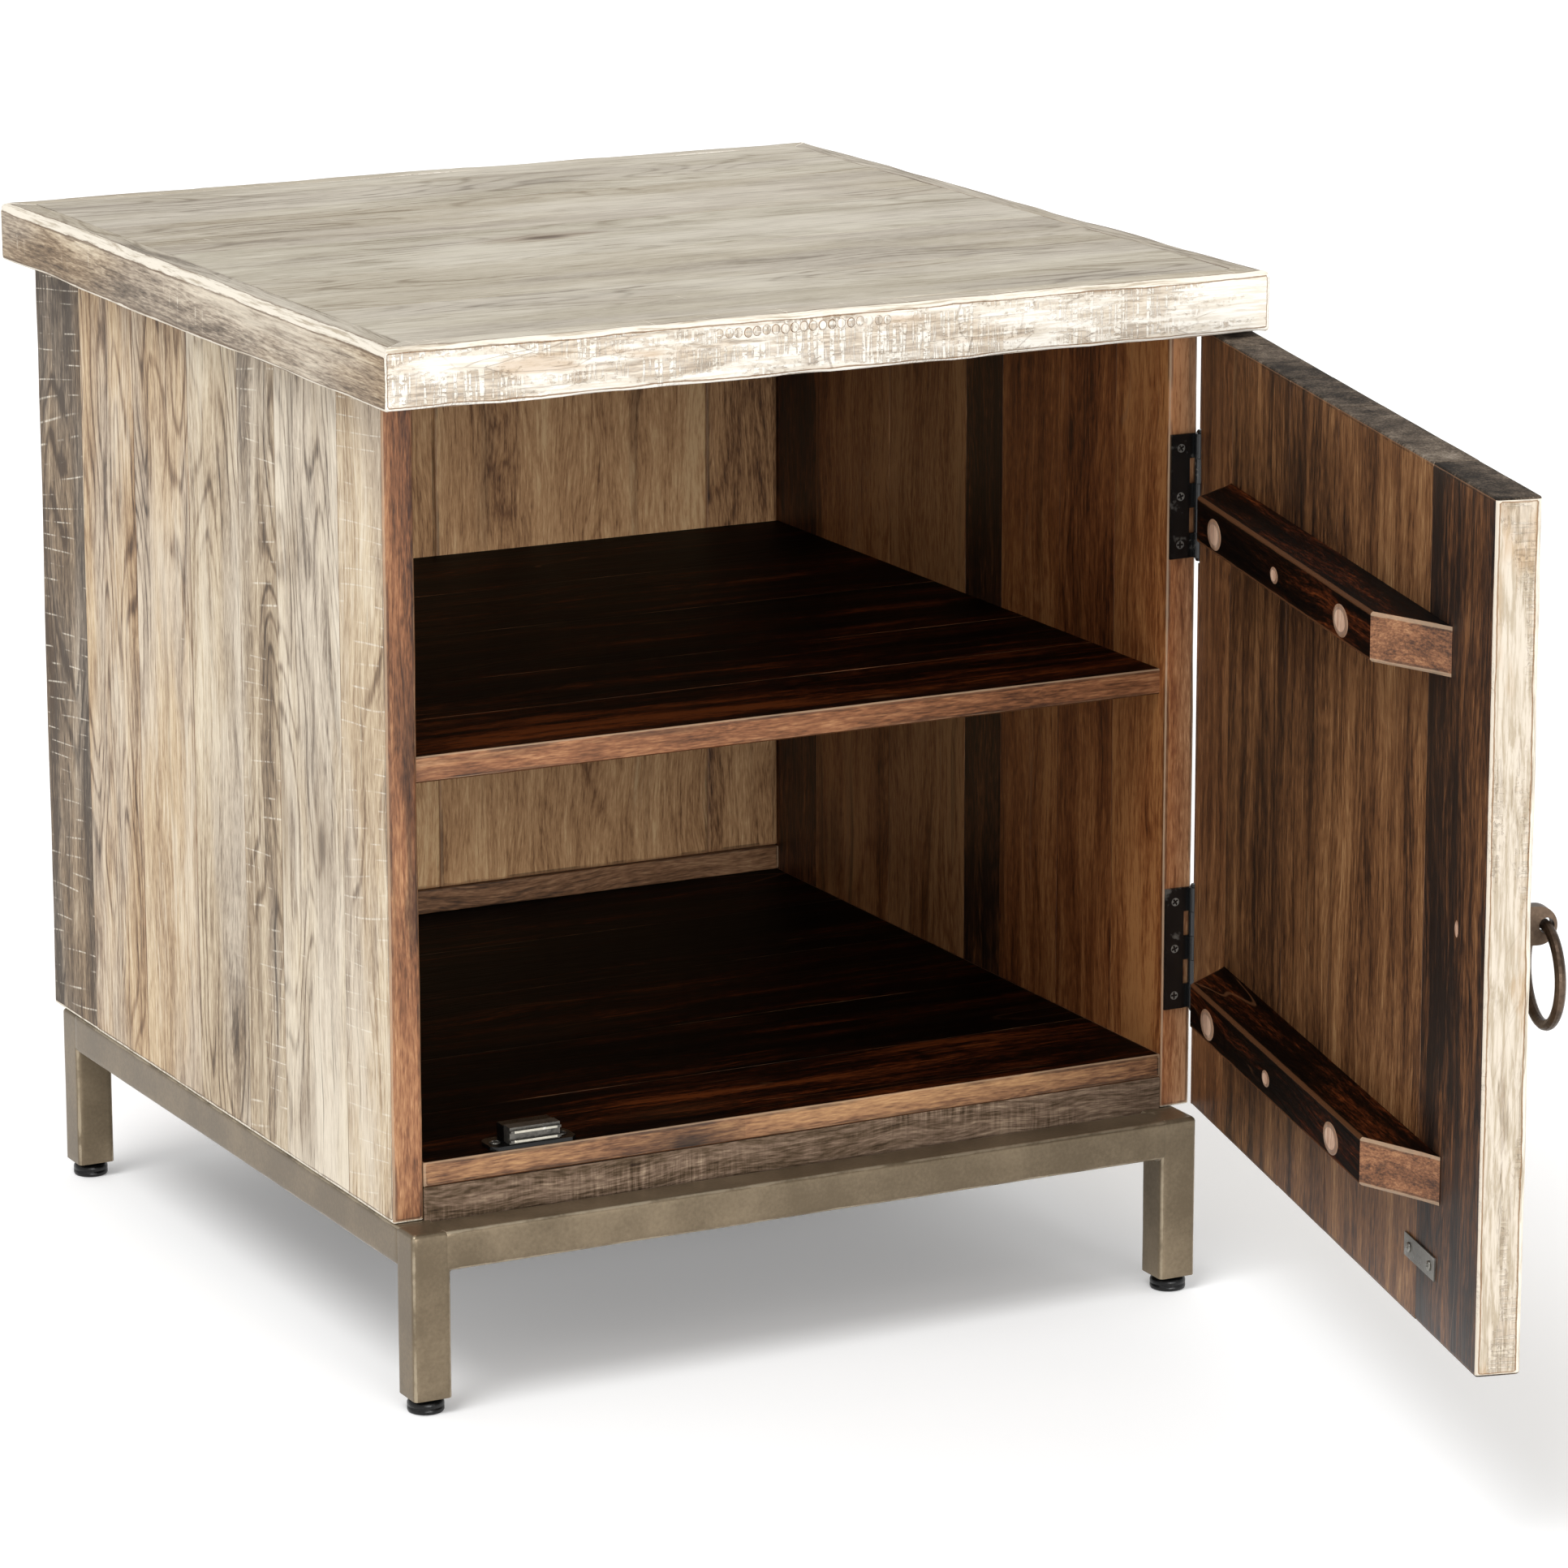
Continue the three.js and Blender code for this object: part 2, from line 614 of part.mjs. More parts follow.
/** The eye that carries the ring: a flange on the door, a round-ended lug, and a post into the plank. */
function pullEye() {
  const face = -FIT;
  const end = -EYE_REACH;
  const section = new THREE.Shape();
  section.moveTo(face - 1, -EYE_RADIUS);
  section.lineTo(face - 1, EYE_RADIUS);
  section.absarc(end + EYE_RADIUS, 0, EYE_RADIUS, Math.PI / 2, 1.5 * Math.PI, false);
  section.holes.push(new THREE.Path().absarc(end + EYE_HOLE_FROM_END, 0, EYE_HOLE_RADIUS, 0, 2 * Math.PI));
  const lug = extrudeAlongX(section, -EYE_THICKNESS / 2, EYE_THICKNESS / 2, 12);
  const flange = bar(FLANGE_RADIUS, face - FLANGE_THICKNESS, face, 28).rotateX(-Math.PI / 2);
  const post = bar(POST_RADIUS, face - 1, POST_LENGTH, 12).rotateX(-Math.PI / 2);
  return join(lug, flange, post);
}

function buildPull() {
  const pull = new THREE.Group();
  pull.add(piece('pull_eye', pullEye(), darkBronze()));
  const ring = new THREE.TorusGeometry(RING_RADIUS, RING_WIRE_RADIUS, 12, 48).rotateX(Math.PI / 2);
  const ringPiece = piece('pull_ring', ring, darkBronze());
  ringPiece.position.set(0, -EYE_REACH + EYE_HOLE_FROM_END, -RING_RADIUS - 0.3);
  pull.add(ringPiece);
  pull.position.set(fromHinge(PULL_FROM_HINGE), OUTER_FACE, PULL_HEIGHT);
  return pull;
}

function buildDoor() {
  const door = new THREE.Group();
  const postHole = bar(POST_RADIUS + FIT, -1, POST_LENGTH + 1, 12).rotateX(-Math.PI / 2)
    .translate(fromHinge(PULL_FROM_HINGE), OUTER_FACE, PULL_HEIGHT);
  planksBetween(0, DOOR_PLANK_JOINTS, DOOR_WIDTH).forEach((width, i, all) => {
    const plank = block(spanFromHinge(width), [OUTER_FACE, INNER_FACE], [DOOR_BOTTOM, DOOR_TOP]);
    const shape = i === all.length - 1 ? cut(plank, postHole) : plank;
    door.add(piece(`door_plank_${i + 1}`, shape, whitewashedWood()));
  });

  for (const [place, height] of Object.entries(BATTEN_CENTRES)) {
    door.add(piece(`door_batten_${place}`, batten(height), walnutWood()));
  }
  for (const [place, height] of Object.entries(HINGE_CENTRES)) {
    const leaf = piece(`hinge_${place}_door_leaf`, hingeLeaf([1, 3]), blackSteel());
    leaf.rotation.z = Math.PI / 2;
    leaf.position.z = height;
    door.add(leaf);
  }

  const strike = piece('strike_plate', strikePlate(), platedSteel());
  strike.position.set(fromHinge(CATCH_FROM_HINGE), 0, STRIKE_HEIGHT);
  door.add(strike, buildPull());

  door.position.set(HINGE_AXIS.x, HINGE_AXIS.y, 0);
  door.rotation.z = DOOR_OPEN;
  return door;
}

// ---- The whole cabinet ----

const cabinet = new THREE.Group();
cabinet.add(buildBase(), buildBody(), buildTop(), buildCabinetHingeHalves(), buildCatch(), buildDoor());

const limits = new THREE.Box3().setFromObject(cabinet, true);
const centre = limits.getCenter(new THREE.Vector3());
cabinet.position.set(-centre.x, -centre.y, -limits.min.z);

export default cabinet;
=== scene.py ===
"""The looks of a small one-door storage cabinet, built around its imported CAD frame.

Metres. +X is to the right of someone facing the door, +Y to the back and +Z up. Wooden pieces are swept
boards that carry their own grain coordinates, so one material serves boards that lie in any direction.
"""

import json
import math

import bpy
import numpy as np
from mathutils import Matrix, Vector


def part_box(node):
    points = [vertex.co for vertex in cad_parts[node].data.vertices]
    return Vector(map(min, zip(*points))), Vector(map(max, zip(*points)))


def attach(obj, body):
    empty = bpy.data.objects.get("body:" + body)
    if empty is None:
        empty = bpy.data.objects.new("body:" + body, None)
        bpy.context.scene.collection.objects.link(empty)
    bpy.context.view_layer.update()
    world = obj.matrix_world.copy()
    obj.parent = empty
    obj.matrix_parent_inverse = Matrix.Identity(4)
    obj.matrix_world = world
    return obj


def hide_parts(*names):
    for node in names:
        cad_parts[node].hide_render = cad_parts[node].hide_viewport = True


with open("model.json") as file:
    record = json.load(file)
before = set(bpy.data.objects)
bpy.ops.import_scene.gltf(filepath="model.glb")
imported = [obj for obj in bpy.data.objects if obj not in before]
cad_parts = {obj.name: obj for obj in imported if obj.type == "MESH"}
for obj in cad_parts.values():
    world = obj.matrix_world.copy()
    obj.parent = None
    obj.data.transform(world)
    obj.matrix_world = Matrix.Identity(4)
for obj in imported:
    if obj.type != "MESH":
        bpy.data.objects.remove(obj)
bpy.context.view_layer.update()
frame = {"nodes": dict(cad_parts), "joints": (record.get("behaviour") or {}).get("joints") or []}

MM = 0.001

# ---- Dimensions that the CAD boxes don't give, because the door stands open ----

DOOR_OPEN = math.radians(76)
DOOR_HINGE = Vector(next(j for j in frame["joints"] if j["name"] == "door_hinge")["pos_m"])
BARREL_RADIUS = 3.75 * MM
DOOR_WIDTH = 560 * MM
DOOR_THICKNESS = 27.5 * MM
DOOR_INNER_FACE = 1.35 * MM
DOOR_BOTTOM = 118 * MM
DOOR_TOP = 625 * MM
DOOR_PLANK_JOINTS = [68 * MM, 184 * MM, 279 * MM, 452 * MM]
BATTEN_HEIGHT = 29 * MM
BATTEN_THICKNESS = 32 * MM
BATTEN_CENTRES = {"lower": 213.7 * MM, "upper": 524.1 * MM}
BATTEN_START = 68 * MM
BATTEN_END = 492 * MM
BATTEN_START_BEVEL = 34 * MM
BATTEN_END_BEVEL = 49 * MM
HINGE_CENTRES = {"lower": 221.7 * MM, "upper": 517 * MM}
PULL_FROM_HINGE = 510 * MM
PULL_HEIGHT = 368 * MM
PULL_MARK = 5 * MM
CATCH_FROM_HINGE = 461 * MM
CATCH_EAR = 6.5 * MM
STRIKE_HEIGHT = 159.4 * MM
SCREW_HEAD = 3.6 * MM
TUBE_WALL = 1.6 * MM
TUBE_CORNER = 2.6 * MM
BORE_DEPTH = 16.3 * MM
WELD_RADIUS = 2.4 * MM

X_AXIS = Vector((1, 0, 0))
Y_AXIS = Vector((0, 1, 0))
Z_AXIS = Vector((0, 0, 1))


# ---- Materials ----


def linear(hex_colour):
    """A colour written as RRGGBB, as the linear RGBA that shaders use."""
    parts = [int(hex_colour[i : i + 2], 16) / 255 for i in (0, 2, 4)]
    return [p / 12.92 if p <= 0.04045 else ((p + 0.055) / 1.055) ** 2.4 for p in parts] + [1]


class Value:
    """What a shader node gives out; it can be added, subtracted and multiplied like a number."""

    def __init__(self, graph, socket):
        self.graph = graph
        self.socket = socket

    def __add__(self, other):
        return self.graph.math("ADD", self, other)

    def __radd__(self, other):
        return self.graph.math("ADD", other, self)

    def __sub__(self, other):
        return self.graph.math("SUBTRACT", self, other)

    def __mul__(self, other):
        return self.graph.math("MULTIPLY", self, other)


class Graph:
    """A short way to write the nodes of one material."""

    def __init__(self, name):
        self.material = bpy.data.materials.new(name)
        self.material.use_nodes = True
        self.nodes = self.material.node_tree.nodes
        self.links = self.material.node_tree.links
        self.shader = self.nodes["Principled BSDF"]

    def plug(self, socket, value):
        if isinstance(value, Value):
            self.links.new(value.socket, socket)
        elif value is not None:
            socket.default_value = value

    def add(self, kind, inputs):
        """A new node of a kind; inputs are the values of its inputs by name or number."""
        node = self.nodes.new("ShaderNode" + kind)
        for name, value in inputs.items():
            self.plug(node.inputs[name], value)
        return node

    def value(self, node, output=0):
        return Value(self, node.outputs[output])

    def attribute(self, name, output="Vector"):
        node = self.add("Attribute", {})
        node.attribute_name = name
        return self.value(node, output)

    def object_place(self):
        return self.value(self.add("TexCoord", {}), "Object")

    def math(self, operation, a, b=None):
        node = self.add("Math", {0: a, 1: b})
        node.operation = operation
        return self.value(node)

    def larger(self, a, b):
        return self.math("MAXIMUM", a, b)

    def stretch(self, vector, scale):
        return self.value(self.add("Mapping", {"Vector": vector, "Scale": scale}))

    def shift_across(self, vector, amount):
        """A vector with an amount added to its Y."""
        sideways = self.value(self.add("CombineXYZ", {"Y": amount}))
        return self.value(self.add("VectorMath", {0: vector, 1: sideways}))

    def split(self, vector):
        return [Value(self, socket) for socket in self.add("SeparateXYZ", {0: vector}).outputs]

    def noise(self, vector, scale, detail=3, roughness=0.55):
        """Noise from 0 to 1 with a scale of its own along each axis."""
        place = self.stretch(vector, scale)
        inputs = {"Vector": place, "Scale": 1, "Detail": detail, "Roughness": roughness}
        return self.value(self.add("TexNoise", inputs), "Fac")

    def cells(self, vector, scale, feature="F1"):
        node = self.add("TexVoronoi", {"Vector": self.stretch(vector, scale), "Scale": 1})
        node.feature = feature
        return {socket.name: Value(self, socket) for socket in node.outputs}

    def step(self, value, low, high):
        """0 below low, 1 above high, smooth between them; low above high turns it round."""
        ends = {"From Min": min(low, high), "From Max": max(low, high)}
        ends |= {"To Min": 0, "To Max": 1} if low < high else {"To Min": 1, "To Max": 0}
        node = self.add("MapRange", {"Value": value, **ends})
        node.interpolation_type = "SMOOTHSTEP"
        return self.value(node)

    def mix(self, amount, a, b, blend="MIX"):
        """Colour a with b over it by an amount; each is a Value or is written as RRGGBB."""
        node = self.nodes.new("ShaderNodeMix")
        node.data_type = "RGBA"
        node.blend_type = blend
        for name, value in (("Factor", amount), ("A", a), ("B", b)):
            self.plug(node.inputs[name], linear(value) if isinstance(value, str) else value)
        return self.value(node, "Result")

    def ramp(self, value, stops):
        node = self.add("ValToRGB", {0: value})
        elements = node.color_ramp.elements
        while len(elements) < len(stops):
            elements.new(0.5)
        for element, (position, colour) in zip(elements, stops):
            element.position = position
            element.color = linear(colour)
        return self.value(node)

    def bump(self, height, depth):
        node = self.add("Bump", {"Strength": 1, "Distance": depth, "Height": height})
        self.plug(self.shader.inputs["Normal"], self.value(node))

    def finish(self, colour, roughness, metallic=0.0, specular=0.5):
        values = {"Base Color": colour, "Roughness": roughness, "Metallic": metallic}
        values["Specular IOR Level"] = specular
        for name, value in values.items():
            self.plug(self.shader.inputs[name], value)
        return self.material


# Colours of each wood from its darkest streak to its lightest
SIDE_STOPS = [(0.05, "4E4032"), (0.3, "887660"), (0.5, "B3A28A"), (0.72, "CFC1A8"), (0.95, "E0D5C0")]
TOP_STOPS = [(0.05, "5E5446"), (0.28, "8C826F"), (0.48, "AAA291"), (0.75, "BFB8A8"), (0.95, "CFC8BA")]
STRIP_STOPS = [(0.05, "5E4A38"), (0.3, "8A735C"), (0.5, "AA957C"), (0.72, "C4B49C"), (0.95, "D8CBB8")]
WALNUT_STOPS = [(0.05, "160C06"), (0.28, "3E2614"), (0.5, "664427"), (0.75, "86623F"), (1.0, "A4835C")]
BACK_STOPS = [(0.05, "4A3320"), (0.28, "7C5D3E"), (0.5, "A5845E"), (0.75, "C09E76"), (1.0, "D4B890")]
# The darkest of these colours go below the stain itself: on the shelf and the bottom panel they are painted
# shade of the cabinet's inside.
STAIN_AND_SHADE_STOPS = [(0.08, "030101"), (0.32, "080301"), (0.55, "160802"), (0.78, "381A0A"), (1.0, "5C3216")]
EDGE_STOPS = [(0.08, "3C2618"), (0.32, "64452C"), (0.55, "855F42"), (0.78, "9F7A58"), (1.0, "BA9674")]
DECK_EDGE_STOPS = [(0.08, "3C2A1C"), (0.32, "6A4F38"), (0.55, "8E7052"), (0.78, "A88964"), (1.0, "BE9F78")]
PLUG_STOPS = [(0.08, "7A5A48"), (0.32, "A07E68"), (0.55, "BA9984"), (0.78, "CDB09A"), (1.0, "DCC4AE")]
SAWN_STOPS = [(0.1, "2A1D13"), (0.35, "50402F"), (0.6, "746050"), (0.85, "96826C"), (1.0, "B09C86")]
END_STOPS = [(0.1, "1E1812"), (0.35, "3C332A"), (0.6, "5C5044"), (0.85, "7C7062"), (1.0, "988C7E")]


GRAIN_WANDER = 0.03  # how far the grain strays sideways, in metres
RING_COUNT = 34  # growth rings across the whole range of the figure


class WoodGrain:
    """The grain that every wooden material shares: pores, fibres, soft streaks and growth-ring figure."""

    def __init__(self, graph):
        g = graph
        self.place = g.attribute("grain_place")
        self.wear = g.attribute("wear", "Fac")
        wander = g.noise(self.place, (5, 16, 16), 2)
        self.along = g.shift_across(self.place, (wander - 0.5) * GRAIN_WANDER)
        self.pore = g.noise(self.along, (110, 900, 900), 2, 0.6)
        self.fibre = g.noise(self.along, (24, 430, 430), 4, 0.65)
        self.streak = g.noise(self.along, (4, 62, 62), 6, 0.62)
        self.patch = g.noise(self.place, (4, 13, 13), 4, 0.6)
        figure = g.noise(self.along, (3.6, 17, 17), 1, 0.4)
        figured = g.step(g.noise(self.place, (3, 11, 11), 1), 0.44, 0.58)
        self.ring = g.step(g.math("PINGPONG", figure * RING_COUNT, 1), 0.5, 1.0) * figured
        self.vein = g.step(g.noise(self.along, (1.8, 55, 55), 4, 0.55), 0.57, 0.7)

    def tint(self, light, streak, fibre, patch, ring):
        """How light the wood is: light, changed by each part of the grain by its own amount."""
        total = light
        parts = ((self.streak, streak), (self.fibre, fibre), (self.pore, fibre), (self.patch, patch))
        for part, amount in parts:
            total = total + (part - 0.5) * amount
        return total - self.ring * ring

    def rim(self, g, raggedness):
        """How near a worn edge is, torn up by noise of the given strength."""
        torn = g.noise(self.place, (26, 70, 70), 4, 0.7)
        return self.wear + (torn - 0.5) * raggedness


def knots(g, grain, rarity):
    """Oval knots with a dark heart: (amount of the heart, amount of the soft ring round it)."""
    cell = g.cells(grain.place, (5.5, 15, 15))
    pick = g.step(g.split(cell["Color"])[0], rarity, rarity + 0.01)
    heart = g.step(cell["Distance"], 0.13, 0.05) * pick
    halo = g.step(cell["Distance"], 0.34, 0.1) * pick
    return heart, halo


SAW_PITCH = 11 * MM
SAW_CUT = 0.8 * MM


def saw_marks(g, grain, hatch):
    """Thin slanting saw cuts across the grain, filled with white; hatch is how much of a board has them."""
    along, across, _ = g.split(grain.place)
    drift = g.noise(grain.place, (11, 4, 4), 1)
    turn = along * (1 / SAW_PITCH) + drift * 3.2 + across * (0.14 / SAW_PITCH)
    line = g.step(g.math("PINGPONG", turn, 0.5), SAW_CUT / SAW_PITCH, 0.1 * MM / SAW_PITCH)
    where = g.noise(grain.place, (60, 26, 26), 3, 0.5) + (hatch - 0.75) * 0.32
    broken = g.step(grain.fibre, 0.36, 0.6)
    return line * g.step(where, 0.52, 0.64) * broken


def cracks(g, grain, shown):
    """A net of hairline cracks, long with the grain, where shown lets them be."""
    net = g.cells(grain.along, (22, 95, 95), "DISTANCE_TO_EDGE")["Distance"]
    return g.step(net, 0.026, 0.006) * shown


def seam_line(g, grain):
    """The dark line of a glued joint, broken here and there; such joints carry very little wear."""
    return g.step(grain.wear, 0.03, 0.07) * g.step(g.noise(grain.place, (18, 40, 40), 3), 0.4, 0.55)


def weathered_wood(name, stops, paint="DDD3C1", paint_cover=0.5, contrast=1.0, seam_amount=0.6):
    """Old planks with what is left of a thin white wash, bare grey-brown grain and white worn edges."""
    g = Graph(name)
    grain = WoodGrain(g)
    light, warm, hatch = g.split(g.attribute("tone"))

    tint = grain.tint(light, 1.05 * contrast, 0.85 * contrast, 0.9 * contrast, 0.34 * contrast)
    colour = g.ramp(tint, stops)
    colour = g.mix(grain.vein * (0.5 * contrast), colour, "6E5D4A")
    colour = g.mix(warm * 0.5, colour, "C79F74", "SOFT_LIGHT")
    faded = g.noise(grain.place, (3, 14, 14), 3)
    colour = g.mix(g.step(faded, 0.42, 0.62) * 0.5, colour, "9C948A", "COLOR")

    wash = grain.patch * 0.6 + grain.fibre * 0.4 + (light - 0.5) * 0.3
    colour = g.mix(g.step(wash, 0.5, 0.62) * paint_cover, colour, paint)

    heart, halo = knots(g, grain, rarity=0.8)
    colour = g.mix(halo * 0.35, colour, "7A6248")
    colour = g.mix(heart * 0.7, colour, "4A3828")
    check = g.step(g.noise(grain.along, (7, 240, 240), 3, 0.7), 0.63, 0.7)
    colour = g.mix(check * (0.6 * contrast), colour, "4C3E30")

    marks = saw_marks(g, grain, hatch)
    colour = g.mix(marks * 0.8, colour, "E6DDCC")
    colour = g.mix(seam_line(g, grain) * seam_amount, colour, "5A4838")

    rim = grain.rim(g, 1.0)
    colour = g.mix(g.step(rim, 0.24, 0.42) * 0.6, colour, "6A5440")
    rubbed = g.mix(g.step(grain.fibre, 0.34, 0.54), "B3A692", "E2DACB")
    colour = g.mix(g.step(rim, 0.5, 0.7), colour, rubbed)

    height = grain.fibre * 0.7 + grain.ring * -0.3 + g.larger(grain.vein, check) * -0.4
    g.bump(height + marks * -0.4 + heart * -0.5, 0.5 * MM)
    return g.finish(colour, 0.55 + grain.fibre * 0.3, specular=0.35)


def hatched_paint(name, paint_low="D6CDBE", paint_high="EDE8DE", bald_amount=0.62, crack_amount=0.4,
                  hatch_from=0.45):
    """Cream paint over sawn wood: in patches the saw's strokes stand white on the bare brown."""
    g = Graph(name)
    grain = WoodGrain(g)
    light = g.split(g.attribute("tone"))[0]

    bare = g.ramp(grain.tint(light - 0.1, 1.2, 1.4, 0.6, 0.1), STRIP_STOPS)
    strokes = g.noise(grain.place, (470, 26, 26), 3, 0.6)
    where = g.noise(grain.place, (9, 44, 44), 3, 0.6)
    hatch = g.step(where, hatch_from, hatch_from + 0.1) * g.step(strokes, 0.55, 0.47)
    grit = g.step(g.noise(grain.place, (260, 520, 520), 3, 0.6), 0.54, 0.62)
    speckle = grit * g.step(where, hatch_from - 0.04, hatch_from + 0.07)
    rubbed = g.noise(grain.along, (9, 170, 170), 4, 0.65)
    bald = g.larger(g.larger(hatch, speckle), g.step(rubbed, 0.59, 0.68))
    colour = g.mix(g.step(grain.fibre, 0.38, 0.6), paint_low, paint_high)
    stain = g.step(g.noise(grain.place, (14, 50, 50), 3), 0.56, 0.7)
    colour = g.mix(stain * 0.5, colour, "B08E66")
    colour = g.mix(bald * bald_amount, colour, bare)

    crack_line = cracks(g, grain, g.step(grain.patch, 0.47, 0.57))
    colour = g.mix(crack_line * crack_amount, colour, "6E5A48")

    rim = grain.rim(g, 1.0)
    colour = g.mix(g.step(rim, 0.16, 0.34) * 0.85, colour, "80603F")
    colour = g.mix(g.step(rim, 0.5, 0.7), colour, paint_high)
    g.bump(bald * -0.6 + grain.fibre * 0.3 + crack_line * (-0.5 * crack_amount), 0.7 * MM)
    return g.finish(colour, 0.6 + bald * 0.15, specular=0.3)


def walnut_wood(name, stops, roughness, streaks, edge="8A6446", edge_amount=0.5, knot_rarity=0.86,
                vein_amount=0.6, specular=0.4):
    """Stained planks with soft black and orange streaks, a few pale hairline splits and a low sheen."""
    g = Graph(name)
    grain = WoodGrain(g)
    light, warm, _ = g.split(g.attribute("tone"))

    colour = g.ramp(grain.tint(light, streaks, 1.0, 1.0, 0.14), stops)
    colour = g.mix(warm * 0.6, colour, "B8742E", "SOFT_LIGHT")
    colour = g.mix(grain.vein * vein_amount, colour, "150A05")

    heart, halo = knots(g, grain, knot_rarity)
    colour = g.mix(halo * 0.45, colour, "2A180C")
    colour = g.mix(heart * 0.8, colour, "120A05")

    course = g.noise(grain.along, (1.3, 22, 22), 2, 0.4)
    split = g.step(g.math("ABSOLUTE", course - 0.56), 0.0035, 0.001) * g.step(grain.patch, 0.5, 0.56)
    colour = g.mix(split * 0.45, colour, edge)
    colour = g.mix(seam_line(g, grain) * 0.5, colour, "120A05")

    rim = grain.rim(g, 0.7)
    colour = g.mix(g.step(rim, 0.5, 0.75) * edge_amount, colour, edge)

    g.bump(grain.fibre + grain.ring * -0.3, 0.18 * MM)
    return g.finish(colour, roughness - 0.08 + grain.fibre * 0.2, specular=specular)


def sawn_wood(name, stops, cut_amount=0.5):
    """Rough unfinished wood, furry with saw marks across the grain in patches."""
    g = Graph(name)
    grain = WoodGrain(g)
    light = g.split(g.attribute("tone"))[0]
    cuts = g.noise(grain.place, (420, 30, 30), 3, 0.6)
    shown = g.step(g.noise(grain.place, (6, 40, 40), 2), 0.4, 0.6) * cut_amount
    colour = g.ramp((cuts - 0.5) * shown * 2.4 + grain.tint(light, 1.2, 0.9, 0.8, 0.08), stops)
    g.bump(cuts + grain.fibre * 0.6, 0.7 * MM)
    return g.finish(colour, 0.85, specular=0.2)


def worn_metal(name, colour_low, colour_high, edge, roughness, metallic, edge_amount=1.0, uses_wear=True,
               specular=0.5):
    """Cloudy patinated metal with fine grit and bright edges: rubbed wear, and on the base tubes and hinge
    screw heads also a painted highlight.
    """
    g = Graph(name)
    place = g.object_place()
    cloud = g.noise(place, (14, 14, 14), 4, 0.6)
    grit = g.noise(place, (420, 420, 420), 3, 0.6)
    colour = g.mix(g.step(cloud * 0.75 + grit * 0.25, 0.35, 0.68), colour_low, colour_high)
    scuff = g.noise(place, (34, 34, 34), 4, 0.7)
    if uses_wear:
        # The wear attribute brightens edges: rubbed wear, and along the base tubes' rounded corners and round
        # the hinge screw heads also a painted highlight.
        rim = g.attribute("wear", "Fac") + (scuff - 0.5) * 0.9
        rubbed = g.step(rim, 0.86, 1.06) * edge_amount
    else:
        rubbed = g.step(scuff, 0.6, 0.7) * edge_amount
    colour = g.mix(rubbed, colour, edge)
    g.bump(grit * 0.5 + scuff * 0.5, 0.12 * MM)
    return g.finish(colour, roughness + (cloud - 0.5) * 0.2 - rubbed * 0.12, metallic, specular)


def black_moulding(name):
    """Moulded black plastic or rubber with a faint grain and dusty scuffs."""
    g = Graph(name)
    place = g.object_place()
    grit = g.noise(place, (900, 900, 900), 2)
    scuff = g.noise(place, (90, 90, 90), 4, 0.7)
    colour = g.mix(g.step(scuff, 0.55, 0.75) * 0.3, "070707", "2E2D2C")
    g.bump(grit, 0.1 * MM)
    return g.finish(colour, 0.2 + grit * 0.2, specular=0.35)


FLOOR_GLOW = 0.16


def pale_floor(name):
    """A plain pale studio floor."""
    g = Graph(name)
    colour = g.mix(g.noise(g.object_place(), (3, 3, 3), 2), "F3F3F3", "F7F7F7")
    g.shader.inputs["Emission Color"].default_value = (1, 1, 1, 1)
    g.shader.inputs["Emission Strength"].default_value = FLOOR_GLOW
    return g.finish(colour, 0.9, specular=0.1)


SIDE_WOOD = weathered_wood("weathered_side_wood", SIDE_STOPS, paint_cover=0.45, contrast=0.84)
TOP_WOOD = weathered_wood("weathered_top_wood", TOP_STOPS, paint="CCC5B6", paint_cover=0.55, contrast=0.62,
                          seam_amount=0.15)
STRIP_WOOD = hatched_paint("whitewashed_edge_wood")
DOOR_EDGE_WOOD = hatched_paint("whitewashed_door_edge", paint_low="AB9D88", paint_high="CBC0B0",
                               bald_amount=0.35, crack_amount=0.12, hatch_from=0.5)
WALNUT = walnut_wood("walnut_wood", WALNUT_STOPS, roughness=0.42, streaks=1.3)
BACK_WALNUT = walnut_wood("back_plank_wood", BACK_STOPS, roughness=0.5, streaks=1.1, vein_amount=0.35)
# Dark stain, darkened further as painted shade where it covers the shelf and the bottom panel.
STAIN_AND_SHADE_WOOD = walnut_wood("dark_stain_and_painted_shade_wood", STAIN_AND_SHADE_STOPS, roughness=0.55, streaks=2.2, edge="6A452C",
                      specular=0.04)
EDGE_WOOD = walnut_wood("edge_brown_wood", EDGE_STOPS, roughness=0.5, streaks=1.0, edge="B49A7E",
                        edge_amount=0.55)
DECK_EDGE_WOOD = walnut_wood("grey_brown_edge_wood", DECK_EDGE_STOPS, roughness=0.55, streaks=1.0,
                             edge="B49A7E", edge_amount=0.4)
NO_KNOTS = 2  # a rarity that no cell reaches
PLUG_WOOD = walnut_wood("plug_wood", PLUG_STOPS, roughness=0.5, streaks=1.6, knot_rarity=NO_KNOTS)
END_WOOD = sawn_wood("door_end_wood", END_STOPS, cut_amount=0.3)
SAWN = sawn_wood("rough_sawn_wood", SAWN_STOPS)
# The tubes' rounded corners take the edge colour: partly rubbed wear, partly a painted highlight line.
BASE_METAL = worn_metal("bronzed_tube_steel", "665946", "84755F", "B8AA92", 0.36, 0.6, 0.55)
WELD_METAL = worn_metal("weld_bead_steel", "7A6E5E", "B0A696", "F0EBE2", 0.32, 0.7)
BLACK_STEEL = worn_metal("black_hinge_steel", "060708", "0F1112", "A8A49C", 0.22, 0.1, 0.3, uses_wear=False,
                         specular=0.7)
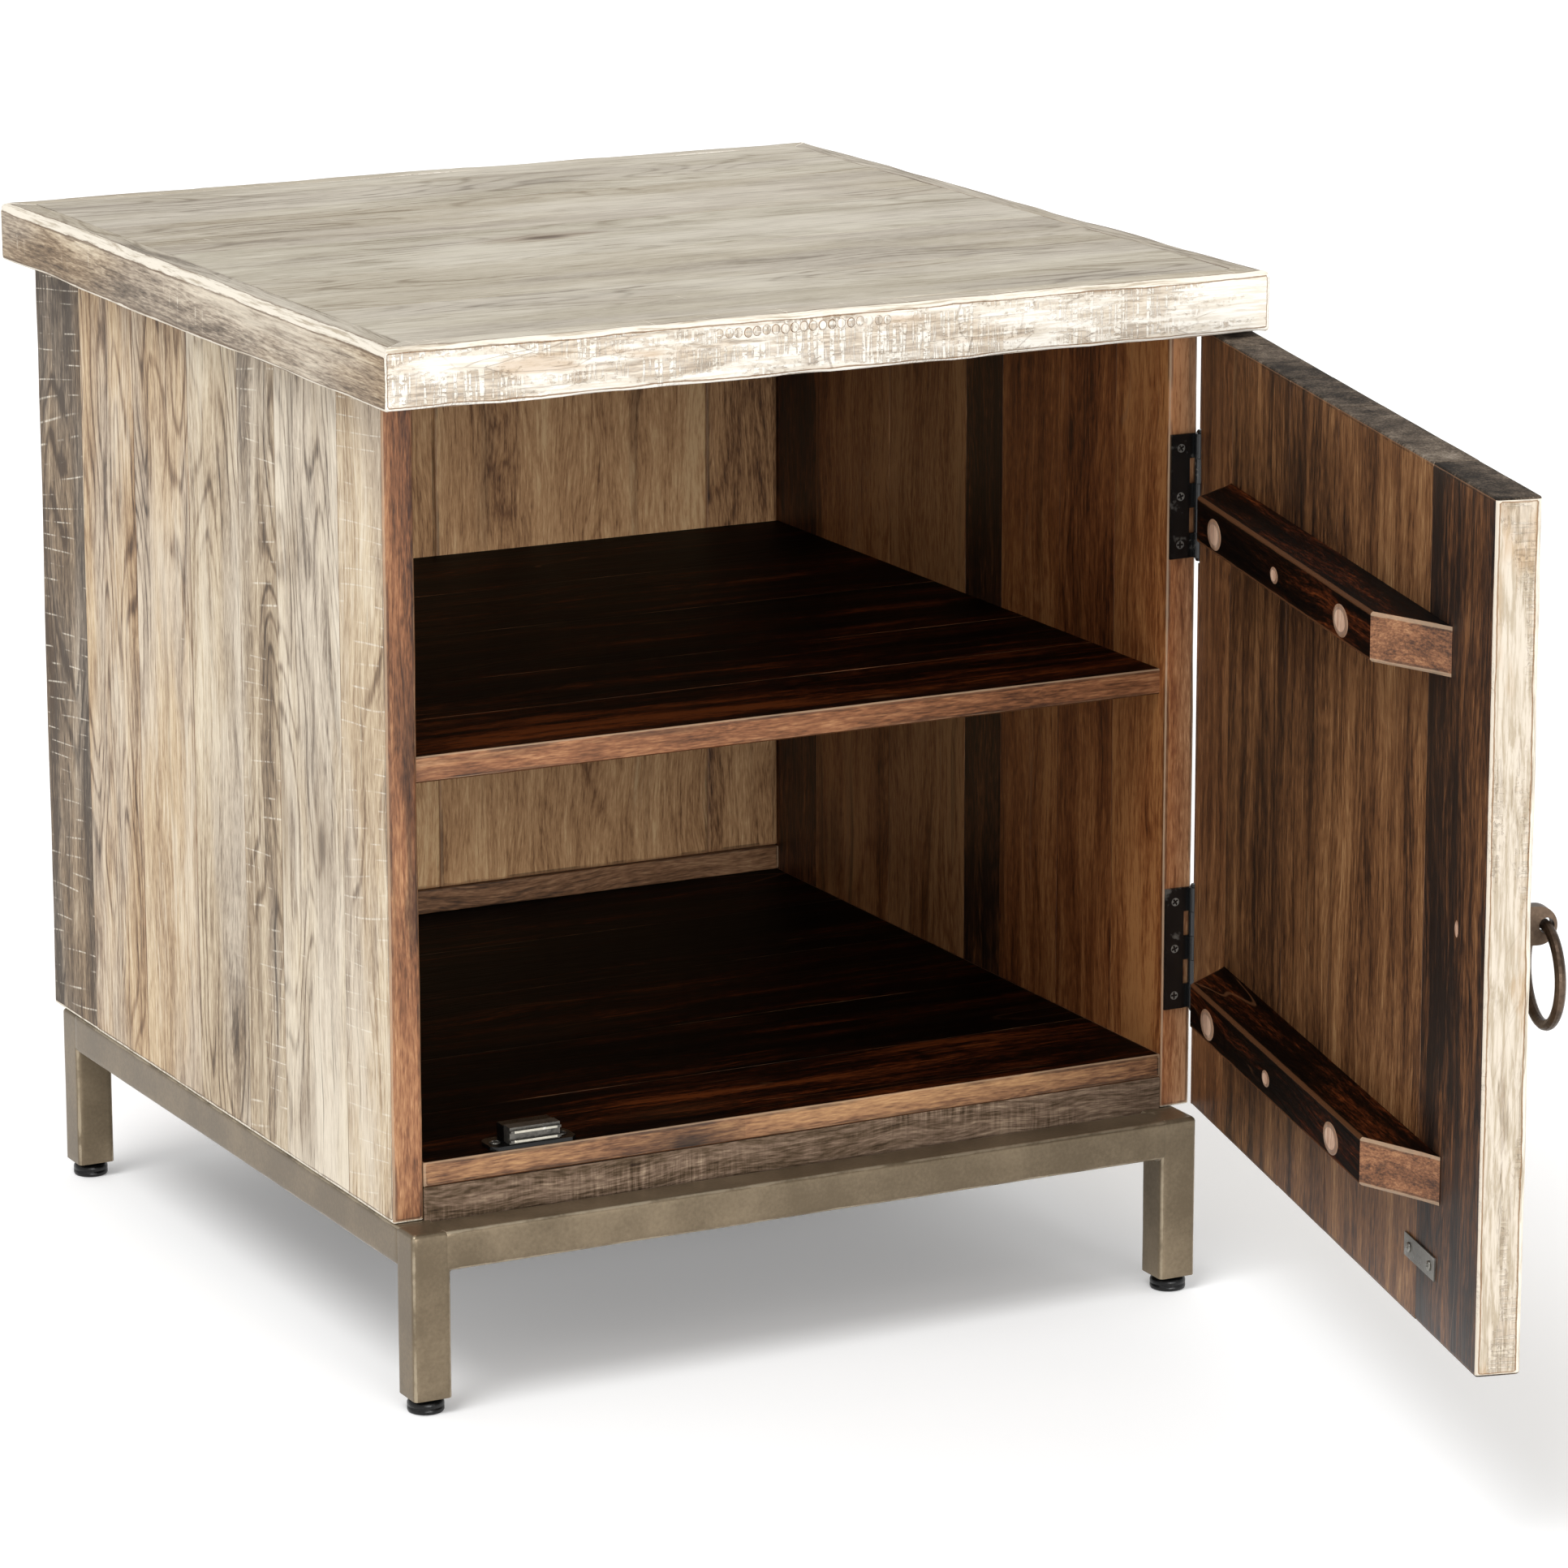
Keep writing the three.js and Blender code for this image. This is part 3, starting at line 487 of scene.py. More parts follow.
# Hinge screw heads painted mid grey with a near-white rim: partly rubbed wear, partly a painted glint.
SCREW_STEEL = worn_metal("black_screw_wear_and_glint", "4C4B48", "8E8C86", "F6F2EA", 0.3, 0.25)
BRONZE = worn_metal("dark_bronze", "3A2F26", "6B594A", "B59D86", 0.36, 0.85, 0.5, uses_wear=False)
POLE_STEEL = worn_metal("catch_pole_steel", "3A3936", "7E7A73", "C8C4BC", 0.28, 0.8, 0.4, uses_wear=False)
POLE_BRIGHT = worn_metal("bright_pole_edge", "B4B0A4", "E4DECC", "FFFFFF", 0.22, 0.8, uses_wear=False)
PLATED = worn_metal("zinc_plated_steel", "77756F", "A5A29A", "E2E0DC", 0.3, 0.85, 0.5, uses_wear=False)
MOULDING = black_moulding("black_moulding")
FLOOR = pale_floor("pale_floor")


# ---- Boards ----


def ripple(points, wavelengths, seed, waves=7):
    """Smooth noise from -1 to 1 at each of some points, from waves of about the given length on each axis."""
    draw = np.random.default_rng(seed)
    total = np.zeros(len(points))
    for _ in range(waves):
        direction = draw.normal(size=3) / np.array(wavelengths)
        total += np.sin(2 * math.pi * (points @ direction) * 0.6 + draw.uniform(0, 2 * math.pi))
    return total / math.sqrt(waves) / 1.5


SHARP_CORNER = 0.9 * MM  # a smaller radius is a glued seam, which doesn't wear white
SKINNED_SIDES = ("front", "back", "left", "right", "end")
SEAM_WEAR = 0.1
WEAR_REACH = 1.7 * MM
WEAR_AT_ARC_END = 0.6


def corner_points(centre, radius, start, segments=3):
    for i in range(segments + 1):
        angle = math.radians(start + 90 * i / segments)
        yield centre[0] + radius * math.cos(angle), centre[1] + radius * math.sin(angle)


def board_section(width, thickness, radii, step):
    """The section of a board, anticlockwise from its +Y side: (y, z, wear, face) for each point.

    radii are those of the corners +Y+Z, -Y+Z, -Y-Z and +Y-Z. face names the side that follows a point.
    """
    half = (width / 2, thickness / 2)
    signs = [(1, 1), (-1, 1), (-1, -1), (1, -1)]
    faces = ["front", "left", "back", "right"]
    arcs = []
    for i, (sy, sz) in enumerate(signs):
        centre = (sy * (half[0] - radii[i]), sz * (half[1] - radii[i]))
        arcs.append(list(corner_points(centre, radii[i], 90 * i)))
    section = []
    for i, arc in enumerate(arcs):
        worn = 1.0 if radii[i] > SHARP_CORNER else SEAM_WEAR
        section.append((*arc[0], worn * WEAR_AT_ARC_END, faces[i]))
        section += [(y, z, worn, faces[i]) for y, z in arc[1:-1]]
        section.append((*arc[-1], worn * WEAR_AT_ARC_END, faces[i]))
        start = Vector(arc[-1])
        end = Vector(arcs[(i + 1) % 4][0])
        length = (end - start).length
        margin = min(WEAR_REACH, length / 4)
        count = max(1, round((length - 2 * margin) / step))
        for k in range(count + 1):
            at = start.lerp(end, (margin + (length - 2 * margin) * k / count) / length)
            section.append((at.x, at.y, 0.0, faces[i]))
    return section


def frame_of(centre, axes):
    """The matrix that takes a piece to a centre, with its own X, Y and Z along the given axes."""
    return Matrix.Translation(centre) @ Matrix([list(a) for a in axes]).transposed().to_4x4()


def end_stations(radius, reach, wear=1.0):
    """(distance in from the end, inset, wear) for the stations that round a board's end."""
    angles = np.linspace(math.pi / 2, 0, 4)
    rounding = [(radius * (1 - math.sin(a)), radius * (1 - math.cos(a)), wear) for a in angles]
    return rounding + [(radius + reach, 0.0, 0.0)]


def circle(around):
    """The cosine and sine of evenly spaced angles."""
    for k in range(around):
        angle = 2 * math.pi * k / around
        yield math.cos(angle), math.sin(angle)


def tube_faces(rings, around, turned=False):
    """The faces that skin a row of rings of points and close both ends; turned reverses them."""
    faces = []
    for i in range(rings - 1):
        for k in range(around):
            a, b = i * around + k, i * around + (k + 1) % around
            faces.append((a, b, b + around, a + around))
    faces.append(tuple(range(around))[::-1])
    faces.append(tuple((rings - 1) * around + k for k in range(around)))
    return [(face[0], *face[:0:-1]) for face in faces] if turned else faces


def solid(name, points, faces, skins, flat=0):
    """A mesh object; skins is its material or that of each face, and its last few faces are flat."""
    mesh = bpy.data.meshes.new(name)
    mesh.from_pydata([tuple(p) for p in points], [], faces)
    marks = skins if isinstance(skins, list) else [skins] * len(faces)
    materials = list(dict.fromkeys(marks))
    for material in materials:
        mesh.materials.append(material)
    mesh.polygons.foreach_set("material_index", [materials.index(m) for m in marks])
    mesh.polygons.foreach_set("use_smooth", [i < len(faces) - flat for i in range(len(faces))])
    piece = bpy.data.objects.new(name, mesh)
    bpy.context.collection.objects.link(piece)
    return piece


def store_wear(mesh, wear):
    """Stores how worn each point of a mesh is."""
    values = np.array(wear, dtype=np.float32)
    mesh.attributes.new("wear", "FLOAT", "POINT").data.foreach_set("value", values)


def carry_grain(mesh, grain, wear, tones):
    """Stores on each point of a mesh what the wooden materials read: place in the grain, wear and tone."""
    for name, values in (("grain_place", grain), ("tone", tones)):
        values = np.array(values, dtype=np.float32).ravel()
        mesh.attributes.new(name, "FLOAT_VECTOR", "POINT").data.foreach_set("vector", values)
    store_wear(mesh, wear)


GRAIN_SPREAD = 8  # pieces lie at random places of the grain up to this far out
BOW_LENGTHS = ((1, (0.16, 0.3, 0.3)), (2, (0.12, 0.06, 0.3)))  # an axis, and how long its waves are
CHIP_LENGTHS = (0.07, 0.5, 0.5)
CHIP_MEAN = 0.35


def sweep(name, stations, section, size, skins, to_frame, mitre, chip, wave, tones, seed):
    """Skins a section along stations of (x, inset, wear); tones are those of the front and the back."""
    width, thickness = size
    draw = np.random.default_rng(seed)
    ys = np.array([p[0] for p in section])
    zs = np.array([p[1] for p in section])
    section_wear = np.array([p[2] for p in section])
    longest = max(abs(s[0]) for s in stations)
    rings = []
    wears = []
    for x, inset, wear in stations:
        ring_y = ys * (1 - 2 * inset / width)
        ring_z = zs * (1 - 2 * inset / thickness)
        ring_x = x * (longest - mitre * (width / 2 - ring_y)) / longest
        rings.append(np.stack([ring_x, ring_y, ring_z], axis=1))
        wears.append(np.maximum(section_wear, wear))
    points = np.concatenate(rings)
    wears = np.concatenate(wears)
    still = points.copy()

    shift = draw.uniform(-GRAIN_SPREAD, GRAIN_SPREAD, 3)
    for axis, lengths in BOW_LENGTHS:
        points[:, axis] += wave * ripple(still + shift, lengths, seed * 7 + axis)
    bite = np.clip(CHIP_MEAN + ripple(still + shift, CHIP_LENGTHS, seed * 7 + 5), 0, 4 * CHIP_MEAN)
    for axis, half in ((1, width / 2), (2, thickness / 2)):
        near = wears * chip * bite
        points[:, axis] -= np.sign(still[:, axis]) * near * (np.abs(still[:, axis]) > half * 0.6)

    marks = []
    for here, after in zip(stations, stations[1:]):
        on_end = here[2] > 0 and after[2] > 0
        marks += [skins["end"] if on_end else skins[point[3]] for point in section]
    marks += [skins["end"], skins["end"]]
    faces = tube_faces(len(stations), len(section))
    piece = solid(name, [to_frame @ Vector(p) for p in points], faces, marks, flat=2)
    if to_frame.to_3x3().determinant() < 0:
        piece.data.flip_normals()
    tone = np.where(still[:, 2:] > 0, np.array(tones[0]), np.array(tones[1]))
    carry_grain(piece.data, still + shift, wears, tone)
    return piece


def board(name, centre, axes, size, skins, tone=(0.5, 0.3, 0.6), seed=1, radii=0.5 * MM, end_radius=1 * MM,
          mitre=0, chip=0.25 * MM, wave=0.15 * MM, step=30 * MM, back_tone=None, end_wear=None):
    """A board of size (length along the grain, width, thickness), with axes for those three directions."""
    length, width, thickness = size
    corners = radii if isinstance(radii, (list, tuple)) else [radii] * 4
    if not isinstance(skins, dict):
        skins = dict.fromkeys(SKINNED_SIDES, skins)
    inner = max(2, round(length / step))
    if end_wear is None:
        end_wear = 1.0 if end_radius > SHARP_CORNER else SEAM_WEAR
    end = end_stations(end_radius, min(WEAR_REACH, length / 4), end_wear)
    stations = [(-length / 2 + x, inset, wear) for x, inset, wear in end]
    reach = length / 2 - end[-1][0]
    stations += [(-reach + 2 * reach * i / inner, 0.0, 0.0) for i in range(1, inner)]
    stations += [(length / 2 - x, inset, wear) for x, inset, wear in reversed(end)]
    to_frame = frame_of(centre, axes)
    section = board_section(width, thickness, corners, min(step, 22 * MM))
    tones = (tone, back_tone or tone)
    return sweep(name, stations, section, size[1:], skins, to_frame, mitre, chip, wave, tones, seed)


def board_in(name, low, high, grain, normal, **options):
    """A board that fills an axis-aligned box, with its grain and its front face along the given axes."""
    low, high = Vector(low), Vector(high)
    span = high - low
    across = normal.cross(grain)
    size = [abs(span.dot(axis)) for axis in (grain, across, normal)]
    return board(name, (low + high) / 2, (grain, across, normal), size, **options)


def board_for(node, slot, grain, normal, **options):
    """A detailed board in place of one CAD node that is a plain board of the cabinet."""
    low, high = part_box(node)
    settle(board_in("look_" + node, low, high, grain, normal, **options), "cabinet", node)


def settle(piece, body, node=None):
    """Fixes a finished piece to its body, in place of a CAD node if one is given."""
    if node:
        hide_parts(node)
    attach(piece, body)


# ---- Top ----


def build_top():
    tones = [(0.57, 0.1, 0.3), (0.54, 0.15, 0.2), (0.59, 0.05, 0.25), (0.54, 0.2, 0.35), (0.58, 0.1, 0.25)]
    for i, tone in enumerate(tones):
        board_for(f"top_board_{i + 1}", "weathered_wood", X_AXIS, Z_AXIS, skins=TOP_WOOD, tone=tone,
                  seed=11 + i, radii=0.15 * MM, end_radius=0.2 * MM, wave=0.25 * MM)

    lower_tone = (0.36, 0.25, 0.6)
    # each strip: which way it faces, its wood, the tone of its upper half, and the rounding of its upper edge
    strips = {
        "front": (-Y_AXIS, STRIP_WOOD, (0.6, 0.25, 0.9), 3.0 * MM),
        "back": (Y_AXIS, STRIP_WOOD, (0.55, 0.25, 0.9), 3.0 * MM),
        "left": (-X_AXIS, SIDE_WOOD, (0.48, 0.2, 0.5), 5.0 * MM),
        "right": (X_AXIS, SIDE_WOOD, (0.5, 0.25, 0.5), 4.0 * MM),
    }
    for i, (place, (out, wood, tone, rounding)) in enumerate(strips.items()):
        board_for(f"top_edge_{place}", "weathered_wood", out.cross(Z_AXIS), Z_AXIS,
                  skins={**dict.fromkeys(SKINNED_SIDES, wood), "front": TOP_WOOD}, tone=tone,
                  back_tone=lower_tone if wood is SIDE_WOOD else tone, seed=31 + i, mitre=1,
                  radii=[rounding, 0.3 * MM, 0.5 * MM, 1.6 * MM], end_radius=0.3 * MM, end_wear=1.0,
                  chip=1.0 * MM, wave=0.45 * MM, step=14 * MM)


TOOTH_COUNT = 19
TOOTH_PITCH = 6.3 * MM
TOOTH_RADIUS = 3.1 * MM
TOOTH_PROUD = 0.5 * MM
FIRST_TOOTH = -82 * MM  # from the middle of the front strip
TOOTH_DROP = 9 * MM  # from the top down to the middle of the row
TOOTH_SCATTER = 0.2 * MM
TOOTH_RIM_WEAR = 0.42


def build_tooth_row():
    """The row of small rounded teeth along the top's front strip, each with a brown rim."""
    low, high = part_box("top_edge_front")
    middle = (low.x + high.x) / 2
    draw = np.random.default_rng(241)
    for i in range(TOOTH_COUNT):
        x = middle + FIRST_TOOTH + i * TOOTH_PITCH + draw.normal() * TOOTH_SCATTER
        z = high.z - TOOTH_DROP + draw.normal() * TOOTH_SCATTER
        relief(f"edge_tooth_{i + 1}", (x, low.y, z), -Y_AXIS, TOOTH_RADIUS, low_dome(TOOTH_PROUD, 6),
               STRIP_WOOD, "cabinet", around=24, rings=6, stretch=0.9, seed=251 + i,
               rim_wear=TOOTH_RIM_WEAR)


# ---- Body ----

# What a plank of the sides and of the door shows: weathered outside, walnut inside, brown edges
PLANK_SKINS = {"front": SIDE_WOOD, "back": WALNUT, "left": EDGE_WOOD, "right": EDGE_WOOD, "end": END_WOOD}

# The boards of each side panel from the front: where each ends, its tone outside and its tone inside
SIDE_PLANKS = {
    "left": [
        (67, (0.6, 0.5, 0.95), (0.45, 0.6, 0)),
        (163, (0.66, 0.2, 0.35), (0.5, 0.7, 0)),
        (222, (0.5, 0.15, 0.85), (0.35, 0.4, 0)),
        (303, (0.57, 0.2, 0.3), (0.55, 0.6, 0)),
        (395, (0.6, 0.8, 0.35), (0.5, 0.5, 0)),
        (487, (0.5, 0.95, 0.25), (0.4, 0.6, 0)),
        (566, (0.15, 0.2, 0.9), (0.3, 0.4, 0)),
    ],
    # The right panel is painted lighter inside than the left, as painted light in the shaded inside, and its
    # front plank lightest, as painted light on its front edge in the door's shade.
    "right": [
        (67, (0.92, 0.4, 0.6), (0.82, 1.0, 0)),
        (138, (0.5, 0.3, 0.3), (0.6, 1.0, 0)),
        (215, (0.6, 0.5, 0.8), (0.66, 1.0, 0)),
        (264, (0.4, 0.2, 0.4), (0.22, 0.4, 0)),
        (372, (0.55, 0.7, 0.3), (0.82, 0.6, 0)),
        (480, (0.48, 0.3, 0.9), (0.76, 0.7, 0)),
        (566, (0.34, 0.3, 0.6), (0.28, 0.6, 0)),
    ],
}

SEAM_RADIUS = 0.15 * MM  # how far the corners of a glued joint are eased
RIGHT_SIDE_PROUD = 1 * MM  # how much fuller the right side is, behind the hinges
FRONT_EASE = (1.2 * MM, 1 * MM)  # of a side panel's front edge, outside and inside
BACK_EASE = 2 * MM
UNDER_TOP_GAP = 0.3 * MM


def build_side(side, seed):
    """A side panel as its edge-glued boards: weathered outside, walnut inside, brown on the front edge."""
    node = f"side_panel_{side}"
    low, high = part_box(node)
    out = -X_AXIS if side == "left" else X_AXIS
    if side == "right":
        high.x += RIGHT_SIDE_PROUD
    toward_front = out.cross(Z_AXIS).y < 0
    skins = {**PLANK_SKINS, "end": SIDE_WOOD}
    planks = SIDE_PLANKS[side]
    start = 0
    for i, (end, tone, inner_tone) in enumerate(planks):
        plank_low = Vector((low.x, low.y + start * MM, low.z))
        plank_high = Vector((high.x, low.y + end * MM, high.z))
        outermost = i in (0, len(planks) - 1)
        radii = [SEAM_RADIUS] * 4
        if i == 0:
            radii[0 if toward_front else 1] = FRONT_EASE[0]
            radii[3 if toward_front else 2] = FRONT_EASE[1]
        if i == len(planks) - 1:
            plank_high.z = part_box("top_edge_back")[0].z - UNDER_TOP_GAP
            radii[1 if toward_front else 0] = BACK_EASE
        chip = 0.5 * MM if outermost else 0.1 * MM
        piece = board_in(f"look_{node}_{i + 1}", plank_low, plank_high, Z_AXIS, out, skins=skins, tone=tone,
                         back_tone=inner_tone, seed=seed + i, radii=radii, chip=chip, wave=0.12 * MM)
        settle(piece, "cabinet", node if i == 0 else None)
        start = end


EDGE_LIGHT = 0.46  # how light the lower half of a panel's front edge is
DECK_EASE = 0.95 * MM  # how far the front edge of the shelf and of the bottom panel is eased

# The planks of each panel from the front: where each ends, the last at the back, and how light it is
BOTTOM_PLANKS = [(96, 0.6), (205, 0.44), (330, 0.5), (440, 0.36), (None, 0.4)]
SHELF_PLANKS = [(88, 0.66), (176, 0.54), (300, 0.42), (415, 0.5), (None, 0.36)]


def build_deck(node, edge_wood, planks, seed):
    """A horizontal panel as its glued planks."""
    low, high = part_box(node)
    # The planks' tops and undersides are near black: partly their dark stain, partly painted shade of the
    # cabinet's inside.
    skins = {**dict.fromkeys(SKINNED_SIDES, edge_wood), "front": STAIN_AND_SHADE_WOOD, "back": STAIN_AND_SHADE_WOOD}
    start = low.y
    for i, (end, light) in enumerate(planks):
        stop = high.y if end is None else low.y + end * MM
        radii = [SEAM_RADIUS] * 4
        if i == 0:
            radii[1] = radii[2] = DECK_EASE
        lower_light = EDGE_LIGHT if i == 0 else light
        piece = board_in(f"look_{node}_{i + 1}", (low.x, start, low.z), (high.x, stop, high.z), X_AXIS,
                         Z_AXIS, skins=skins, tone=(light, 0.6, 0), back_tone=(lower_light, 0.6, 0),
                         seed=seed + i, radii=radii, chip=0.1 * MM, wave=0.08 * MM)
        settle(piece, "cabinet", node if i == 0 else None)
        start = stop


# Each back plank is lighter inside than outside, as painted light on the shaded inside, and the insides
# darken towards the right as painted shade.
BACK_TONE_AND_PAINTED_LIGHT = [(0.72, 0.45), (0.72, 0.32), (0.66, 0.42), (0.42, 0.3)]  # each plank inside and outside
BACK_JOINT_LAP = 0.5 * MM  # how far each back plank reaches toward its neighbours, to shut out light
APRON_DROP = 4 * MM  # how far the apron reaches down behind the front rail


def build_body():
    build_side("left", 51)
    build_side("right", 71)
    for i, (inside, outside) in enumerate(BACK_TONE_AND_PAINTED_LIGHT):
        node = f"back_plank_{i + 1}"
        low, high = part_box(node)
        if i > 0:
            low.x -= BACK_JOINT_LAP
        if i < len(BACK_TONE_AND_PAINTED_LIGHT) - 1:
            high.x += BACK_JOINT_LAP
        plank = board_in("look_" + node, low, high, Z_AXIS, -Y_AXIS, skins=BACK_WALNUT,
                         tone=(inside, 0.45, 0), back_tone=(outside, 0.15, 0), seed=91 + i, radii=1.2 * MM,
                         chip=0.1 * MM)
        settle(plank, "cabinet", node)
    board_for("back_bottom_rail", "walnut_wood", X_AXIS, -Y_AXIS, skins=EDGE_WOOD, seed=101,
              tone=(0.5, 0, 0))
    build_deck("bottom_panel", DECK_EDGE_WOOD, BOTTOM_PLANKS, 211)
    build_deck("shelf", EDGE_WOOD, SHELF_PLANKS, 221)
    low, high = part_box("front_apron")
    apron = board_in("look_front_apron", low - APRON_DROP * Z_AXIS, high, X_AXIS, -Y_AXIS, skins=SAWN,
                     seed=104, wave=0.5 * MM)
    settle(apron, "cabinet", "front_apron")
    board_for("back_floor_bearer", "walnut_wood", X_AXIS, Y_AXIS, skins=SAWN, seed=105)
    for i, side in enumerate(("left", "right")):
        board_for(f"top_cleat_{side}", "walnut_wood", Y_AXIS, -Z_AXIS, skins=WALNUT,
                  seed=106 + i, tone=(0.4, 0.2, 0))


# ---- Base ----


TUBE_END = 0.1 * MM  # how far the cut end of a tube is eased
TUBE_END_REACH = 5 * MM
TUBE_STEP = 30 * MM


def tube(node, low, high, along, across, seed, top_radius=TUBE_END, open_end=False):
    """A square tube in place of a CAD leg or rail; open_end shows the bore at its low end."""
    normal = along.cross(across)
    length, width, thickness = (abs((high - low).dot(axis)) for axis in (along, across, normal))
    reach = length / 2
    start = end_stations(TUBE_END, TUBE_END_REACH, wear=0.0)
    finish = end_stations(top_radius, TUBE_END_REACH, wear=0.0)
    stations = [(-reach + x, inset, wear) for x, inset, wear in start]
    if open_end:
        stations = [(-reach + BORE_DEPTH, TUBE_WALL, 0.0), (-reach, TUBE_WALL, 0.0)] + stations
    count = max(2, round(length / TUBE_STEP))
    flat = length - start[-1][0] - finish[-1][0]
    stations += [(-reach + start[-1][0] + flat * i / count, 0.0, 0.0) for i in range(1, count)]
    stations += [(reach - x, inset, wear) for x, inset, wear in reversed(finish)]
    section = board_section(width, thickness, [TUBE_CORNER] * 4, 12 * MM)
    skins = dict.fromkeys(SKINNED_SIDES, BASE_METAL)
    to_frame = frame_of((low + high) / 2, (along, across, normal))
    tones = ((0.5, 0.5, 0), (0.5, 0.5, 0))
    piece = sweep("look_" + node, stations, section, (width, thickness), skins, to_frame, mitre=0,
                  chip=0.1 * MM, wave=0.08 * MM, tones=tones, seed=seed)
    settle(piece, "cabinet", node)


WELD_RUN = 2.6 * MM  # the length of one ripple of a bead
WELD_STEP = 0.9 * MM
WELD_SIDES = 10
WELD_ROUGHNESS = 0.05
WELD_WEAR = 0.6
WELD_ENDS_SHORT = 2 * MM


def bead(name, start, end, seed):
    """A weld bead: a thin tube with the ripples of its runs."""
    start, end = Vector(start), Vector(end)
    length = (end - start).length
    along = (end - start).normalized()
    side = along.orthogonal().normalized()
    up = along.cross(side)
    draw = np.random.default_rng(seed)
    rings = max(8, round(length / WELD_STEP))
    points = []
    for i in range(rings + 1):
        t = i / rings
        run = abs(math.sin(t * length / WELD_RUN * math.pi))
        swell = WELD_RADIUS * (0.75 + 0.25 * run) + draw.normal() * WELD_ROUGHNESS * MM
        swell *= min(1, 0.35 + 4 * min(t, 1 - t))
        points += [start.lerp(end, t) + (side * c + up * s) * swell for c, s in circle(WELD_SIDES)]
    piece = solid(name, points, tube_faces(rings + 1, WELD_SIDES), WELD_METAL)
    store_wear(piece.data, [WELD_WEAR] * len(points))
    settle(piece, "cabinet")


def build_base():
    """Legs and rails whose ground joints don't show, the welds inside them and the feet."""
    into_leg = TUBE_CORNER + 0.2 * MM
    rails = [("front", X_AXIS), ("back", X_AXIS), ("left", Y_AXIS), ("right", Y_AXIS)]
    for i, (place, along) in enumerate(rails):
        node = f"base_rail_{place}"
        low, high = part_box(node)
        across = along.cross(Z_AXIS)
        tube(node, low - into_leg * along, high + into_leg * along, along, across, 131 + i)
    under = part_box("base_rail_front")[0].z
    for i, place in enumerate(["front_left", "front_right", "back_left", "back_right"]):
        low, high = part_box(f"base_leg_{place}")
        tube(f"base_leg_{place}", low, high, Z_AXIS, X_AXIS, 121 + i, top_radius=TUBE_CORNER, open_end=True)
        x = high.x if "left" in place else low.x
        y = high.y if "front" in place else low.y
        short = WELD_ENDS_SHORT
        bead(f"weld_under_{place}_x", (x, low.y + short, under), (x, high.y - short, under), 141 + i)
        bead(f"weld_under_{place}_y", (low.x + short, y, under), (high.x - short, y, under), 145 + i)
        bead(f"weld_inner_{place}", (x, y, under + short / 2), (x, y, high.z - short / 2), 149 + i)
        build_foot(place)


def lathe(name, profile, centre, material, segments=48):
    """A solid of revolution about a vertical axis through centre, from (radius, height) points."""
    points = []
    for radius, height in profile:
        for c, s in circle(segments):
            points.append((centre[0] + radius * c, centre[1] + radius * s, centre[2] + height))
    return solid(name, points, tube_faces(len(profile), segments), material, flat=2)


# A foot's pad from the floor up, in mm: how far it stays inside its widest radius, and the height
PAD_PROFILE = [(1.2, 0), (0.5, 0.3), (0, 1.2), (0, 3.2), (0.5, 3.5)]
PAD_PROFILE += [(0.5, 3.9), (0, 4.2), (0, 6), (0.6, 7.3), (2.2, 8.4)]
PAD_TOP = 8.6 * MM
STUD_RADIUS = 3.9 * MM
THREAD_START = 9 * MM
THREAD_PITCH = 1.25 * MM
THREAD_DEPTH = 0.5 * MM
THREAD_FLANK = 0.6 * MM  # from a crest to the root beside it
THREAD_SHORT = 1.5 * MM  # how far below the stud's end the last turn may start


def build_foot(place):
    """A round pad under a threaded stud."""
    node = f"levelling_foot_{place}"
    low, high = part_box(node)
    centre = ((low.x + high.x) / 2, (low.y + high.y) / 2, low.z)
    radius = (high.x - low.x) / 2
    profile = [(radius - inset * MM, height * MM) for inset, height in PAD_PROFILE]
    profile += [(STUD_RADIUS + 0.6 * MM, PAD_TOP), (STUD_RADIUS, THREAD_START)]
    turn = THREAD_START
    while turn < high.z - THREAD_SHORT:
        profile.append((STUD_RADIUS, turn))
        profile.append((STUD_RADIUS - THREAD_DEPTH, turn + THREAD_FLANK))
        profile.append((STUD_RADIUS, turn + 2 * THREAD_FLANK))
        turn += THREAD_PITCH
    profile.append((STUD_RADIUS - 0.8 * MM, high.z - low.z))
    piece = lathe("look_" + node, profile, centre, MOULDING)
    settle(piece, f"foot_{place}", node)


# ---- Door ----

DOOR_TURN = Matrix.Translation((DOOR_HINGE.x, DOOR_HINGE.y, 0)) @ Matrix.Rotation(DOOR_OPEN, 4, "Z")
DOOR_ALONG = (DOOR_TURN.to_3x3() @ -X_AXIS).normalized()
DOOR_INWARD = (DOOR_TURN.to_3x3() @ Y_AXIS).normalized()
DOOR_NORMAL = -DOOR_INWARD
DOOR_GRAIN = DOOR_ALONG.cross(DOOR_NORMAL)


def on_door(from_hinge, depth, height):
    """A point of the open door, from its hinge edge, inward from its inner face, and up from the floor."""
    return DOOR_TURN @ Vector((-(BARREL_RADIUS + from_hinge), DOOR_INNER_FACE + depth, height))


# The planks of the door from its hinge edge: the tone outside and the tone inside
DOOR_PLANKS = [
    ((0.42, 0.4, 0.3), (0.5, 0.4, 0)),
    ((0.5, 0.5, 0.7), (0.36, 0.2, 0)),
    ((0.38, 0.2, 0.4), (0.44, 0.2, 0)),
    ((0.56, 0.5, 0.5), (0.55, 0.25, 0)),
    ((0.5, 0.3, 0.7), (0.2, 0.3, 0)),
]
DOOR_JOINT_LAP = 0.3 * MM  # how far neighbouring door planks reach into each other
HINGE_EDGE_EASE = 1.0 * MM
FREE_EDGE_EASE = (3.0 * MM, 1.6 * MM)  # outside and inside


